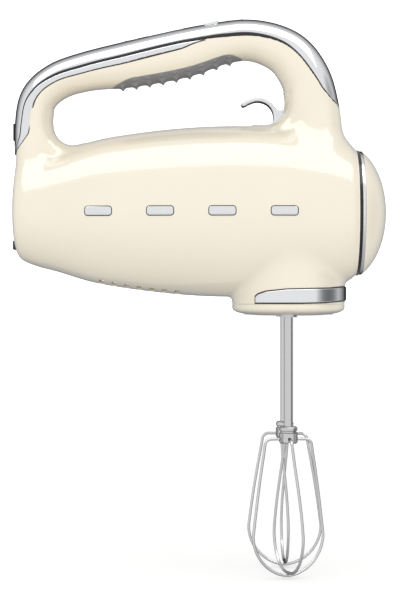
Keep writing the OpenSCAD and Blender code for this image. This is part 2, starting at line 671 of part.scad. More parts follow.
plate_low = 44.5;
plate_high = 70;
frame_from = 128;
frame_to = 176;
module frame_outline() {
    for (y = [-spindle_y, spindle_y]) translate([spindle_x, y]) circle(11.6, $fn = 48);
    translate([frame_from, -16]) square([frame_to - frame_from, 32]);
    translate([spindle_x - 11, -spindle_y]) square([22, 2 * spindle_y]);
}
module gearbox_frame() {
    color([0.75, 0.76, 0.77]) in_frame() difference() {
        union() {
            translate([0, 0, plate_low]) linear_extrude(4) frame_outline();
            both_sides() at_left() translate([0, 0, 13]) cylinder(r = 9.5, h = plate_low - 12, $fn = 64);
            for (x = [frame_from, frame_to - 3]) translate([x, -16, plate_low])
                cube([3, 32, plate_high - plate_low - 0.1]);
            along_x(frame_to - 1) cylinder(r = 9, h = 5, $fn = 48);
            for (y = [-1, 1]) translate([frame_from, y > 0 ? 15 : -31, axis_z - 5]) cube([3, 16, 10]);
            for (x = [-22, 22]) translate([head_x + x, 0, 8]) cylinder(r = 4, h = plate_low - 7, $fn = 32);
            for (y = [-12, 12]) translate([head_x, y, 8]) cylinder(r = 3, h = plate_low - 7, $fn = 32);
        }
        both_sides() at_left() cylinder(r = spindle_r + 0.6, h = 90, $fn = 64);
        both_sides() at_left() translate([0, 0, 12]) cylinder(r = bush_outer, h = 8, $fn = 64);
        along_x(frame_to - 3.5) cylinder(r = bush_r, h = 12, $fn = 48);
        along_x(frame_from - 1) cylinder(r = 6, h = 6, $fn = 48);
        for (y = [-rod_y, rod_y]) translate([0, y, 0]) along_x(frame_from - 1)
            cylinder(r = 1.55, h = 6, $fn = 24);
        for (p = base_screw_places) translate([p[0], p[1], 0]) cylinder(r = 1.42, h = 18, $fn = 24);
        for (p = lid_screw_places) translate([p[0], p[1], plate_high - 12])
            cylinder(r = 1.22, h = 14, $fn = 24);
    }
}
lid_screw_places = [for (x = [frame_from + 1.5, frame_to - 1.5], y = [-12, 12]) [x, y]];
module gearbox_lid() {
    color([0.75, 0.76, 0.77]) in_frame() difference() {
        translate([0, 0, plate_high]) linear_extrude(4) frame_outline();
        both_sides() at_left() cylinder(r = bush_outer, h = 90, $fn = 64);
        for (p = lid_screw_places) translate([p[0], p[1], 60]) cylinder(r = 1.6, h = 20, $fn = 24);
    }
}
module lid_screws() {
    color(steel) in_frame() for (p = lid_screw_places) translate([p[0], p[1], plate_high - 8]) {
        cylinder(r = 1.2, h = 12.5, $fn = 24);
        translate([0, 0, 12.05]) cylinder(r = 2.4, h = 1.6, $fn = 32);
    }
}
module drive_board() {
    color([0.1, 0.35, 0.18]) in_frame() {
        translate([16, -14, 62]) cube([28, 28, 1.6]);
        for (x = [22, 33]) translate([x, -5, 63.6]) cylinder(r = 4, h = 9, $fn = 32);
        translate([26, 4, 63.6]) cube([12, 7, 6]);
    }
}

// ---- eject lever ----------------------------------------------------------------------------
lever_range = 18;
module eject_lever() {
    hook = [136.5, 111.6];
    color(chrome) in_frame() difference() {
        translate([0, lever_w / 2, 0]) rotate([90, 0, 0]) linear_extrude(lever_w) union() {
            polygon(concat(
                arc(hook, 10.2, 152, 24, 16),                       // back of the hook
                arc([149.6, 118.3], 3.2, 207, 350, 10),             // hollow above the finger hook
                [[153.2, 123.4], [154.6, 123.6], [156.4, 117]],     // tongue that closes the slot
                arc(pivot, 4, 70, -80, 10),
                [[154.5, 107.8], [150, 106.5], [145, 105.9], [141.4, 105.8]],
                arc([137.2, 111], 8.6, -36, 128, 14)                // inside of the hook
            ));
            polygon([[pivot[0], 114.5], [175, 109.4], [175, 106.8], [pivot[0], 109]]);
        }
        across(pivot[0], pivot[1]) cylinder(r = pin_r + 0.05, h = 40, center = true, $fn = 48);
    }
}
module lever_pin() {
    color(steel) in_frame() across(pivot[0], pivot[1])
        cylinder(r = pin_r, h = pin_length, center = true, $fn = 48);
}
yoke_low = 85;
module ejector_yoke() {
    color(nylon) in_frame() {
        translate([spindle_x - 4, -spindle_y - 4, yoke_low]) cube([8, 2 * spindle_y + 8, 3]);
        translate([spindle_x, -4, yoke_low]) cube([22, 8, 3]);
        translate([spindle_x + 17.5, -4, yoke_low]) cube([4.5, 8, 106.2 - yoke_low]);
    }
}
pin_top = yoke_low - 0.5;
module ejector_pin() { translate([0, 0, 44]) cylinder(r = socket_r - 0.06, h = pin_top - 44, $fn = 48); }
module ejector_pin_left() { color(steel) in_frame() at_left() ejector_pin(); }
module ejector_pin_right() { color(steel) in_frame() at_right() ejector_pin(); }
module coil_spring(r, wire, low, high, turns) {
    steps = 12;
    loft([for (i = [0:turns * steps])
        let (a = 360 * i / steps, z = between(low + wire, high - wire, i / (turns * steps)))
        [for (k = [0:5]) let (b = 60 * k, q = r + wire * cos(b))
            [q * cos(a), q * sin(a), z - wire * sin(b)]]]);
}
module ejector_spring() {
    color(steel) in_frame() translate([spindle_x, 0, 0])
        coil_spring(4, 0.45, plate_high + 4.1, yoke_low - 0.1, 5);
}

// ---- whisks ---------------------------------------------------------------------------------
whisk_top = 43.6;
hub_from = -70.4;
hub_to = -61;
hub_r = 5.1;
// A steel rod with the two ears that key it to its spindle
module whisk_shaft() {
    translate([0, 0, hub_from + 1]) cylinder(r = shaft_d / 2, h = whisk_top - hub_from - 1, $fn = 48);
    translate([-4.4, -0.75, key_top - 6.2]) cube([8.8, 1.5, 6.2]);
}
module whisk_hub() {
    difference() {
        translate([0, 0, hub_from]) rotate_extrude($fn = 64) polygon([
            [shaft_d / 2 + 0.01, 0], [hub_r - 0.8, 0], [hub_r, 0.8], [hub_r, 5.6], [hub_r - 0.7, 6.1],
            [hub_r - 0.7, 6.8], [hub_r - 0.1, 7.2], [hub_r - 0.1, 8.6], [hub_r - 0.9, 9.4],
            [shaft_d / 2 + 0.01, 9.4]
        ]);
        for (i = [0:3]) rotate([0, 0, 45 + 90 * i]) translate([hub_r - 0.9, -0.9, hub_from + 0.8])
            cube([2, 1.8, 4.6]);
        for (i = [0:3]) rotate([0, 0, 90 * i]) translate([1, -wire_d / 2 - 0.02, hub_from - 1])
            cube([hub_r, wire_d + 0.04, 4.3]);
    }
}
// Half a loop: out of the hub, round a shoulder, out to the widest point and in to the bottom
wire_top = hub_from + 2.4;
whisk_low = -(whisk_reach - wire_d / 2);
wide_z = -121;
wire_twist = 15;        // the loops turn this far between the hub and their widest point
function wire_path() =
    let (shoulder = 3.7, neck = 13, start = wire_top - shoulder)
    concat(
        [[3.6, wire_top]],
        [for (i = [0:3]) let (a = 90 - 78 * i / 3) [neck - shoulder + shoulder * cos(a),
            start + shoulder * sin(a)]],
        [for (i = [1:7]) let (t = i / 8) [between(neck, whisk_r, 0.75 * t + 0.25 * sin(90 * t)),
            between(start - 0.5, wide_z, t)]],
        [for (i = [0:9]) let (a = 10 * i)
            [whisk_r * pow(cos(a), 1.1), wide_z + (whisk_low - wide_z) * sin(a)]]
    );
function turned(p, a) = [p[0] * cos(a) - p[1] * sin(a), p[0] * sin(a) + p[1] * cos(a), p[2]];
module wire_loop(turn, drop) {
    half = wire_path();
    n = len(half);
    path = concat(half, [for (i = [n - 2:-1:0]) [-half[i][0], half[i][1]]]);
    m = len(path);
    loft([for (i = [0:m - 1])
        let (d = path[min(i + 1, m - 1)] - path[max(i - 1, 0)], out = [-d[1], d[0]] / norm(d),
            low = drop * pow(max(0, 1 - abs(path[i][0]) / whisk_r), 2),
            a = turn + wire_twist * ramp(path[i][1], wire_top, wide_z))
        [for (k = [0:7]) let (b = 45 * k)
            turned([path[i][0] + out[0] * cos(b) * wire_d / 2, -sin(b) * wire_d / 2,
                path[i][1] + (path[i][1] < wide_z ? low : 0) + out[1] * cos(b) * wire_d / 2], a)]]);
}
module whisk_wires(turn) {
    sculpted() {
        wire_loop(turn, 0);
        wire_loop(turn + 90, wire_d + 0.1);
    }
}
left_turn = -12;
right_turn = 5;
module whisk_shaft_left() { color(steel) in_frame() at_left() whisk_shaft(); }
module whisk_shaft_right() { color(steel) in_frame() at_right() whisk_shaft(); }
module whisk_hub_left() { color(steel) in_frame() at_left() rotate([0, 0, left_turn]) whisk_hub(); }
module whisk_hub_right() { color(steel) in_frame() at_right() rotate([0, 0, right_turn]) whisk_hub(); }
module whisk_wires_left() { color(steel) in_frame() at_left() whisk_wires(left_turn); }
module whisk_wires_right() { color(steel) in_frame() at_right() whisk_wires(right_turn); }

// ---- what is drawn ----------------------------------------------------------------------
left_shell();
right_shell();
nose_cap();
nose_ring();
nose_gasket();
top_trim();
side_rails();
trim_seal();
grip_pad();
display_lens();
power_button();
minus_button();
plus_button();
turbo_button();
control_board();
display_module();
key_switches();
base_cap();
head_band();
base_screws();
heel_foot_upper();
heel_foot_lower();
cord_gland();
badge_bars();
gearbox_frame();
gearbox_lid();
lid_screws();
lower_bushes();
upper_bushes();
motor_can();
motor_magnets();
motor_end_bell();
carbon_brushes();
motor_rods();
armature();
commutator();
motor_shaft();
worm();
cooling_fan();
shaft_bearings();
drive_board();
eject_lever();
lever_pin();
ejector_spring();
ejector_yoke();
ejector_pin_left();
ejector_pin_right();
spindle_left();
spindle_right();
worm_wheel_left();
worm_wheel_right();
whisk_shaft_left();
whisk_shaft_right();
whisk_hub_left();
whisk_hub_right();
whisk_wires_left();
whisk_wires_right();
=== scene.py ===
"""Looks for the hand mixer: cream shells, chrome trim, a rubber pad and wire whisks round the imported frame.

Lengths are in millimetres from the heel plane (x), the middle (y) and the underside of the gear head (z).
to_frame() turns them into the frame's metres, whose origin is the centre of the hand grip.
"""
import json
import math

import bmesh
import bpy
import numpy as np
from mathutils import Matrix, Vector


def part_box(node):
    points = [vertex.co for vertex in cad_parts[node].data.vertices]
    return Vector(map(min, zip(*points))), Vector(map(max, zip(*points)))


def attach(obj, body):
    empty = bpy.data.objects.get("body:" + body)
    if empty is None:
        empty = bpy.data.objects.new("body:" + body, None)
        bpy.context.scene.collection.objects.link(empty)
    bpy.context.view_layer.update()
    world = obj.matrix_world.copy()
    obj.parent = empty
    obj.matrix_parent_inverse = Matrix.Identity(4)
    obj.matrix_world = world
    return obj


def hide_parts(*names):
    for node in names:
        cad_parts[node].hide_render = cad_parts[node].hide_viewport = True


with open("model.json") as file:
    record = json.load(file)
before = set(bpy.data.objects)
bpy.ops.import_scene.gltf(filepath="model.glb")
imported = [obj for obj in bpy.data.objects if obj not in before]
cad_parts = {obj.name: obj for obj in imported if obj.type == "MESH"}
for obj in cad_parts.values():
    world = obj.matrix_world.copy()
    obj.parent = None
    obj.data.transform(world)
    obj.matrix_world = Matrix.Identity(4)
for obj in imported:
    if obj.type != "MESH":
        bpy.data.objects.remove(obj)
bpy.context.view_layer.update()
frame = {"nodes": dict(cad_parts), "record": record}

MM = 0.001
GRIP = np.array([91.0, 0.0, 145.5])
AXIS_Z = 57.5
NOSE_X = 192.0
SPINDLE_X, SPINDLE_Y = 153.5, 22.5
HEAD_X, HEAD_HALF = 154.5, (31.6, 36.0)
CAP_H = 6.4
BODY_HALF = 43.5
GRIP_HALF = 15.5

# x, middle z, half height, half width
BODY = np.array([
    (1.0, 58.0, 19.0, 0.48 * BODY_HALF), (2.4, 57.8, 23.5, 0.58 * BODY_HALF),
    (6, 57.5, 27.0, 0.66 * BODY_HALF), (14, 57.3, 30.0, 0.73 * BODY_HALF),
    (25, 57.6, 33.2, 0.79 * BODY_HALF), (45, 58.2, 39.7, 0.87 * BODY_HALF),
    (70, 58.3, 44.0, 0.94 * BODY_HALF), (100, 58.3, 47.1, 0.99 * BODY_HALF),
    (130, 58.3, 47.9, BODY_HALF), (155, 58.2, 46.2, 0.98 * BODY_HALF),
    (175, 57.8, 42.3, 0.93 * BODY_HALF), (187, 57.5, 38.6, 0.875 * BODY_HALF),
    (NOSE_X, 57.5, 35.2, 35.2),
])
# x, z, half depth, half width, from the rear pillar over the top to the front pillar
HANDLE = np.array([
    (13.0, 66, 12.0, 19), (11.8, 88, 10.9, 17), (11.0, 106, 10.2, GRIP_HALF),
    (14.0, 121.5, 10.2, GRIP_HALF), (24.5, 131.4, 10.3, GRIP_HALF),
    (41, 137.0, 10.9, GRIP_HALF), (66, 141.4, 12.8, GRIP_HALF),
    (95, 147.4, 13.4, GRIP_HALF), (117.5, 153.2, 11.6, GRIP_HALF),
    (132.5, 154.6, 11.4, GRIP_HALF), (146.5, 151.2, 12.3, GRIP_HALF),
    (157, 144.2, 13.3, GRIP_HALF), (164.8, 131.4, 14.0, 16.5),
    (168.2, 115.5, 14.9, 18), (168.6, 100, 16.6, 21.5), (168, 80, 19.5, 26),
])
BODY_POWER, HANDLE_POWER = 2.15, 2.3
HANDLE_END = len(HANDLE) - 1.02


def to_frame(points):
    return (np.asarray(points, float) - GRIP) * MM


# ---- camera ---------------------------------------------------------------------------------
def make_camera():
    data = bpy.data.cameras.new("camera")
    data.lens, data.sensor_width = 113.0, 36.0
    cam = bpy.data.objects.new("camera", data)
    bpy.context.scene.collection.objects.link(cam)
    cam.location = to_frame((104.8, -1060.0, 8.6))
    cam.rotation_euler = (math.radians(90), 0, 0)
    bpy.context.scene.camera = cam


make_camera()


# ---- curves and fields ------------------------------------------------------------------------
def along(stations, u):
    """A smooth curve through the stations: u runs from 0 to the last index."""
    u = np.asarray(u, float)
    last = len(stations) - 1
    i = np.clip(np.floor(u).astype(int), 0, last - 1)
    t = (u - i)[..., None]
    p0, p1, p2, p3 = (stations[np.clip(i + k, 0, last)] for k in (-1, 0, 1, 2))
    return 0.5 * (2 * p1 + (p2 - p0) * t + (2 * p0 - 5 * p1 + 4 * p2 - p3) * t**2
                  + (3 * p1 - p0 - 3 * p2 + p3) * t**3)


def handle_frame(u):
    """The handle's station at u, the unit vector along it and the one out of the loop, in X and Z."""
    d = (along(HANDLE, u + 0.01) - along(HANDLE, u - 0.01))[..., :2]
    ahead = d / np.linalg.norm(d, axis=-1, keepdims=True)
    out = np.stack([-ahead[..., 1], ahead[..., 0]], -1)
    return along(HANDLE, u), ahead, out


def signed_power(v, p):
    return np.sign(v) * np.abs(v) ** p


def handle_point(u, angle, lift=0.0):
    """A point on the handle: angle 0 is outside the loop, 180 inside it; lift stands off the surface."""
    u, angle, lift = np.broadcast_arrays(*(np.asarray(v, float) for v in (u, angle, lift)))
    s, _, out = handle_frame(u)
    a = np.radians(angle)
    high = (s[..., 2] + lift) * signed_power(np.cos(a), 2 / HANDLE_POWER)
    wide = (s[..., 3] + lift) * signed_power(np.sin(a), 2 / HANDLE_POWER)
    return np.stack([s[..., 0] + out[..., 0] * high, -wide, s[..., 1] + out[..., 1] * high], -1)


def radial(a, b, half_a, half_b, power):
    """Signed distance, measured from the middle, to a rounded section."""
    g = (np.abs(a / half_a) ** power + np.abs(b / half_b) ** power) ** (1 / power)
    return np.hypot(a, b) * (1 - 1 / np.maximum(g, 1e-6))


def smooth_min(a, b, k):
    h = np.maximum(k - np.abs(a - b), 0) / k
    return np.minimum(a, b) - h * h * k / 4


def step(t):
    t = np.clip(t, 0, 1)
    return t * t * (3 - 2 * t)


def ramp(u, start, end):
    return np.sin(np.pi / 2 * np.clip((u - start) / (end - start), 0, 1))


# u, then the angles of the cap's edge, of the black strip's edge (a painted dark reflection between the chrome
# cap and the rail) and of the side rail's edge
TRIM = np.array([
    (1.15, 4, 7, 14), (1.3, 22, 26, 44), (1.48, 42, 46, 66), (1.7, 54, 57.5, 83), (2.1, 58, 61, 88),
    (2.6, 61, 64, 89), (3.1, 70, 74, 91), (3.9, 77, 83, 95), (4.8, 80, 86, 98), (5.6, 75.5, 81.5, 93),
    (6.4, 70.5, 77, 88.5), (7, 69.5, 76, 86.5), (7.3, 71.5, 78.5, 82.5), (7.6, 74, 82, 82),
    (8.3, 79, 88, 88), (9.3, 80, 87.5, 87.5), (10.2, 79.5, 84.5, 84.5), (11, 80.5, 83.5, 83.5),
    (11.8, 76.5, 79.5, 79.5), (12.4, 66, 69, 69), (12.8, 45, 48.5, 48.5), (13, 22, 26, 26), (13.1, 4, 7, 7),
])
TRIM_FROM, TRIM_TO, RAIL_TO = 1.15, 13.1, 7.45
PAD_FROM, PAD_TO = 5.55, 8.65


def trim_at(u):
    return along(TRIM, np.interp(u, TRIM[:, 0], np.arange(len(TRIM))))


def trim_edge(u):
    return trim_at(u)[..., 1]


# The edge of the black strip that paints the chrome's dark reflection between the cap and the rail.
def seal_edge(u):
    return trim_at(u)[..., 2]


def rail_edge(u):
    return 0.3 + trim_at(u)[..., 3]


def pad_edge(u):
    return 3 + 45 * ramp(u, PAD_FROM - 0.02, 6) ** 0.8 * ramp(u, PAD_TO + 0.02, 7.9) ** 0.8


BODY_FINE = along(BODY, np.linspace(0, len(BODY) - 1, 1500))
HANDLE_U = np.linspace(0, HANDLE_END, 500)
HANDLE_FINE = along(HANDLE, HANDLE_U)[:, :2]


def body_field(p):
    mid, high, wide = (np.interp(p[:, 0], BODY_FINE[:, 0], BODY_FINE[:, k]) for k in (1, 2, 3))
    return radial(p[:, 1], p[:, 2] - mid, wide, high, BODY_POWER)


def nearest_u(p):
    """The handle's u nearest to each point."""
    found = np.empty(len(p))
    for i in range(0, len(p), 20000):
        d = p[i:i + 20000, None, ::2] - HANDLE_FINE
        found[i:i + 20000] = HANDLE_U[np.argmin((d * d).sum(-1), axis=1)]
    return found


def handle_field(p, u):
    """Distance to the handle, and the place on it as u and an angle."""
    for _ in range(3):
        s, ahead, out = handle_frame(u)
        per_u = np.linalg.norm((along(HANDLE, u + 0.01) - along(HANDLE, u - 0.01))[:, :2], axis=1) / 0.02
        ahead_by = ((p[:, ::2] - s[:, :2]) * ahead).sum(1)
        u = np.clip(u + ahead_by / per_u, 0, HANDLE_END)
    s, ahead, out = handle_frame(u)
    off = p[:, ::2] - s[:, :2]
    high = (off * out).sum(1)
    past_end = np.where((u <= 0) | (u >= HANDLE_END), np.abs((off * ahead).sum(1)), -1e3)
    cos = signed_power(high / s[:, 2], HANDLE_POWER / 2)
    sin = np.abs(p[:, 1] / s[:, 3]) ** (HANDLE_POWER / 2)
    return np.maximum(radial(high, p[:, 1], s[:, 2], s[:, 3], HANDLE_POWER), past_end), u, np.degrees(
        np.arctan2(sin, cos))


HEAD_TOP = 34.0


def head_field(p):
    return np.maximum(radial(p[:, 0] - HEAD_X, p[:, 1], *HEAD_HALF, 2.0), p[:, 2] - HEAD_TOP)


# Curved webs in the lower corners of the hand opening: middle x and z, radius, and the side they lie on
WEBS = [(36.9, 111.0, 16.6, -1), (136.8, 121.7, 16.4, 1)]
WEB_HALF = (7.0, 14.0)


def web_field(p, x, z, r, side):
    out = np.hypot(p[:, 0] - x, p[:, 2] - z)
    section = radial(out - r - WEB_HALF[0], p[:, 1], *WEB_HALF, 2.0)
    return np.maximum(section, np.maximum(-side * (p[:, 0] - x), p[:, 2] - z) - 0.6)


HANDLE_BLEND, WEB_BLEND, HEAD_BLEND, HEEL_BLEND = 9.0, 5.0, 3.0, 3.0
HEEL_X = 0.85
RECESS = 0.9


def housing_field(p, u):
    """Negative inside the housing. The trim and the pad lie in shallow recesses of the handle."""
    handle, u, angle = handle_field(p, u)
    f = smooth_min(body_field(p), handle, HANDLE_BLEND)
    for web in WEBS:
        f = smooth_min(f, web_field(p, *web), WEB_BLEND)
    f = smooth_min(f, head_field(p), HEAD_BLEND)
    f = -smooth_min(-f, p[:, 0] - HEEL_X, HEEL_BLEND)
    near = step(2 - handle / 2)
    trim = step((rail_edge(u) - 1 - angle) / 4) * (u > TRIM_FROM) * (u < TRIM_TO)
    pad = step((angle - 182 + pad_edge(u)) / 4) * (u > PAD_FROM) * (u < PAD_TO)
    return f + RECESS * near * np.maximum(trim, pad)


# ---- mesh helpers -----------------------------------------------------------------------------
def mesh_object(name, points, faces, sharp_degrees=40):
    """An object from points in millimetres, smooth except along sharp edges."""
    mesh = bpy.data.meshes.new(name)
    mesh.from_pydata([tuple(p) for p in to_frame(points)], [], [tuple(f) for f in faces])
    return finish_mesh(name, mesh, sharp_degrees)


def finish_mesh(name, mesh, sharp_degrees=40):
    bm = bmesh.new()
    bm.from_mesh(mesh)
    bmesh.ops.recalc_face_normals(bm, faces=bm.faces)
    bm.to_mesh(mesh)
    bm.free()
    mesh.shade_smooth()
    mesh.set_sharp_from_angle(angle=math.radians(sharp_degrees))
    obj = bpy.data.objects.new(name, mesh)
    bpy.context.scene.collection.objects.link(obj)
    return obj


def loft_faces(rings, sides, closed=False, caps=True):
    faces = []
    for i in range(rings if closed else rings - 1):
        a, b = i * sides, (i + 1) % rings * sides
        faces += [(a + j, a + (j + 1) % sides, b + (j + 1) % sides, b + j) for j in range(sides)]
    if caps and not closed:
        faces.append(tuple(range(sides - 1, -1, -1)))
        faces.append(tuple((rings - 1) * sides + j for j in range(sides)))
    return faces


def loft(name, rings, closed=False, caps=True, sharp_degrees=40):
    rings = np.asarray(rings, float)
    return mesh_object(name, rings.reshape(-1, 3), loft_faces(len(rings), rings.shape[1], closed, caps),
                       sharp_degrees)


def oval(centre_x, half_x, half_y, z, sides):
    a = np.linspace(0, 2 * np.pi, sides, endpoint=False)
    return np.stack([centre_x + half_x * np.cos(a), half_y * np.sin(a), np.full(sides, z)], -1)


def evaluated(obj):
    """The object's mesh with its modifiers applied, in place of its own."""
    graph = bpy.context.evaluated_depsgraph_get()
    mesh = bpy.data.meshes.new_from_object(obj.evaluated_get(graph))
    old = obj.data
    obj.modifiers.clear()
    obj.data = mesh
    bpy.data.meshes.remove(old)
    return obj


def bevelled(obj, width, segments=3, angle=35, sharp_degrees=40):
    mod = obj.modifiers.new("bevel", "BEVEL")
    mod.width, mod.segments = width * MM, segments
    mod.limit_method, mod.angle_limit = "ANGLE", math.radians(angle)
    evaluated(obj)
    obj.data.shade_smooth()
    obj.data.set_sharp_from_angle(angle=math.radians(sharp_degrees))
    return obj


def joined(name, objects):
    """One object from several."""
    bm = bmesh.new()
    for o in objects:
        bm.from_mesh(o.data)
    mesh = bpy.data.meshes.new(name)
    bm.to_mesh(mesh)
    bm.free()
    for o in objects:
        old = o.data
        bpy.data.objects.remove(o)
        bpy.data.meshes.remove(old)
    mesh.shade_smooth()
    mesh.set_sharp_from_angle(angle=math.radians(40))
    obj = bpy.data.objects.new(name, mesh)
    bpy.context.scene.collection.objects.link(obj)
    return obj


def without(obj, *tools):
    """Cuts the tools' shapes out of the object."""
    for tool in tools:
        mod = obj.modifiers.new("cut", "BOOLEAN")
        mod.operation, mod.solver, mod.object = "DIFFERENCE", "EXACT", tool
    evaluated(obj)
    for tool in tools:
        bpy.data.objects.remove(tool)
    return obj


def box_object(name, low, high):
    (x0, y0, z0), (x1, y1, z1) = low, high
    points = [(x, y, z) for x in (x0, x1) for y in (y0, y1) for z in (z0, z1)]
    faces = [(0, 1, 3, 2), (4, 6, 7, 5), (0, 4, 5, 1), (2, 3, 7, 6), (0, 2, 6, 4), (1, 5, 7, 3)]
    return mesh_object(name, points, faces)


def rod(name, start, end, r, sides=48):
    """A plain cylinder between two points."""
    start, end = np.asarray(start, float), np.asarray(end, float)
    ahead = (end - start) / np.linalg.norm(end - start)
    side = np.cross(ahead, (0, 0, 1.0) if abs(ahead[2]) < 0.9 else (1.0, 0, 0))
    side /= np.linalg.norm(side)
    up = np.cross(ahead, side)
    a = np.linspace(0, 2 * np.pi, sides, endpoint=False)[:, None]
    ring = r * (np.cos(a) * side + np.sin(a) * up)
    return loft(name, [start + ring, end + ring])


def sweep(name, path, r, sides=16):
    """A round wire along a path that stays in no special plane."""
    path = np.asarray(path, float)
    tangents = np.gradient(path, axis=0)
    tangents /= np.linalg.norm(tangents, axis=1, keepdims=True)
    side = np.cross(tangents[0], (0, 1.0, 0.1))
    rings = []
    a = np.linspace(0, 2 * np.pi, sides, endpoint=False)[:, None]
    for p, t in zip(path, tangents):
        side = side - t * np.dot(side, t)
        side /= np.linalg.norm(side)
        rings.append(p + r * (np.cos(a) * side + np.sin(a) * np.cross(t, side)))
    return loft(name, rings)


# ---- housing ------------------------------------------------------------------------------------
VOXEL = 1.25
SHELL_WALL = 2.0
SEAM = 0.07


def rough_housing():
    """The union of the body, handle and head as one even mesh, to be pulled onto the true surface."""
    a = np.linspace(0, 2 * np.pi, 96, endpoint=False)
    u = np.linspace(0, len(BODY) - 1, 80)
    s = along(BODY, u)[:, None, :]
    cos, sin = signed_power(np.cos(a), 2 / BODY_POWER), signed_power(np.sin(a), 2 / BODY_POWER)
    body = np.stack([np.broadcast_to(s[..., 0], (80, 96)), s[..., 3] * cos, s[..., 1] + s[..., 2] * sin], -1)
    mouth = body[-1:] + (5, 0, 0)
    uu = np.linspace(0, HANDLE_END, 120)[:, None]
    webs = []
    for x, z, r, side in WEBS:
        t = np.linspace(np.pi, 1.5 * np.pi, 16) if side < 0 else np.linspace(1.5 * np.pi, 2 * np.pi, 16)
        q = r + WEB_HALF[0] * (1 - np.cos(a[::4]))
        webs.append(loft("part", np.stack([x + np.cos(t)[:, None] * q, np.broadcast_to(
            WEB_HALF[1] * np.sin(a[::4]), (16, 24)), z + np.sin(t)[:, None] * q], -1)))
    parts = webs + [
        loft("part", np.concatenate([body, mouth])),
        loft("part", handle_point(uu, np.degrees(a)[None, ::2])),
        loft("part", [oval(HEAD_X, *HEAD_HALF, z, 72) for z in (2, HEAD_TOP)]),
    ]
    rough = joined("housing", parts)
    mod = rough.modifiers.new("remesh", "REMESH")
    mod.mode, mod.voxel_size = "VOXEL", VOXEL * MM
    return evaluated(rough)


def pull_onto_field(points, edges):
    """Evens the points out along the surface and moves them onto the housing's field."""
    count = np.bincount(edges.ravel(), minlength=len(points))[:, None]
    for pass_number in range(6):
        mean = np.zeros_like(points)
        np.add.at(mean, edges[:, 0], points[edges[:, 1]])
        np.add.at(mean, edges[:, 1], points[edges[:, 0]])
        u = nearest_u(points)
        slope = field_slope(points, u)[1]
        move = mean / count - points
        normal = slope / np.linalg.norm(slope, axis=1, keepdims=True)
        if pass_number < 5:
            points = points + 0.6 * (move - normal * (move * normal).sum(1, keepdims=True))
        for _ in range(2):
            f, slope = field_slope(points, u)
            far = f[:, None] * slope / np.maximum((slope * slope).sum(1, keepdims=True), 0.05)
            length = np.linalg.norm(far, axis=1, keepdims=True)
            points = points - far * np.minimum(1, 1.5 / np.maximum(length, 1e-6))
    return points


def field_slope(points, u):
    eps = 0.02
    f = housing_field(points, u)
    slope = np.stack([(housing_field(points + eps * axis, u) - f) / eps for axis in np.eye(3)], -1)
    return f, slope


def cut(bm, point, normal, faces=None, drop=False):
    geom = bm.faces[:] + bm.edges[:] + bm.verts[:]
    if faces is not None:
        edges = {e for f in faces for e in f.edges}
        geom = list(faces) + list(edges) + list({v for e in edges for v in e.verts})
    bmesh.ops.bisect_plane(bm, geom=geom, dist=1e-6, plane_co=Vector(to_frame(point)),
                           plane_no=Vector(normal), clear_outer=drop)


def open_window(bm, low, high):
    """Cuts a rectangular hole through the skin where the box is."""
    low, high = to_frame(low), to_frame(high)
    middle, margin = (low + high) / 2, 4 * MM

    def inside(face, grow):
        c = face.calc_center_median()
        return all(low[k] - grow < c[k] < high[k] + grow for k in range(3))

    for k in range(3):
        for edge in (low, high):
            near = [f for f in bm.faces if inside(f, margin)]
            point, normal = middle.copy(), [0, 0, 0]
            point[k], normal[k] = edge[k], 1
            if near:
                cut(bm, point / MM + GRIP, normal, near)
    bmesh.ops.delete(bm, geom=[f for f in bm.faces if inside(f, 0)], context="FACES")


SLOT = ((140, -6.1, 105.7), (160, 6.1, 124.4))
VENTS = [((50 + 7 * i - 1.4, side * 8 - 6, 5), (50 + 7 * i + 1.4, side * 8 + 6, 29))
         for i in range(7) for side in (-1, 1)]
GLAND_Z = 59.5


def make_housing():
    rough = rough_housing()
    mesh = rough.data
    points = np.empty(len(mesh.vertices) * 3)
    mesh.vertices.foreach_get("co", points)
    edges = np.empty(len(mesh.edges) * 2, int)
    mesh.edges.foreach_get("vertices", edges)
    points = pull_onto_field(points.reshape(-1, 3) / MM + GRIP, edges.reshape(-1, 2))
    mesh.vertices.foreach_set("co", to_frame(points).ravel())
    bm = bmesh.new()
    bm.from_mesh(mesh)
    bpy.data.objects.remove(rough)
    cut(bm, (NOSE_X, 0, 0), (1, 0, 0), drop=True)
    cut(bm, (0, 0, CAP_H), (0, 0, -1), drop=True)
    open_window(bm, *SLOT)
    for vent in VENTS:
        open_window(bm, *vent)
    shells = []
    for name, side in (("left_housing_skin", 1), ("right_housing_skin", -1)):
        half = bm.copy()
        cut(half, (0, SEAM * side, 0), (0, -side, 0), drop=True)
        new = bpy.data.meshes.new(name)
        half.to_mesh(new)
        half.free()
        obj = finish_mesh(name, new, 30)
        solid = obj.modifiers.new("wall", "SOLIDIFY")
        solid.thickness, solid.offset, solid.use_rim = SHELL_WALL * MM, -1, True
        evaluated(obj)
        obj.data.shade_smooth()
        obj.data.set_sharp_from_angle(angle=math.radians(38))
        shells.append(obj)
    bm.free()
    return shells


# ---- materials ----------------------------------------------------------------------------------
def noise(nodes, links, place, scale, detail=2.0, stretch=(1, 1, 1)):
    """A noise over the object's own metres; stretch draws its grain out along an axis."""
    mapping = nodes.new("ShaderNodeMapping")
    mapping.inputs["Scale"].default_value = stretch
    links.new(place.outputs["Object"], mapping.inputs["Vector"])
    tex = nodes.new("ShaderNodeTexNoise")
    tex.inputs["Scale"].default_value = scale
    tex.inputs["Detail"].default_value = detail
    links.new(mapping.outputs["Vector"], tex.inputs["Vector"])
    return tex.outputs["Fac"]


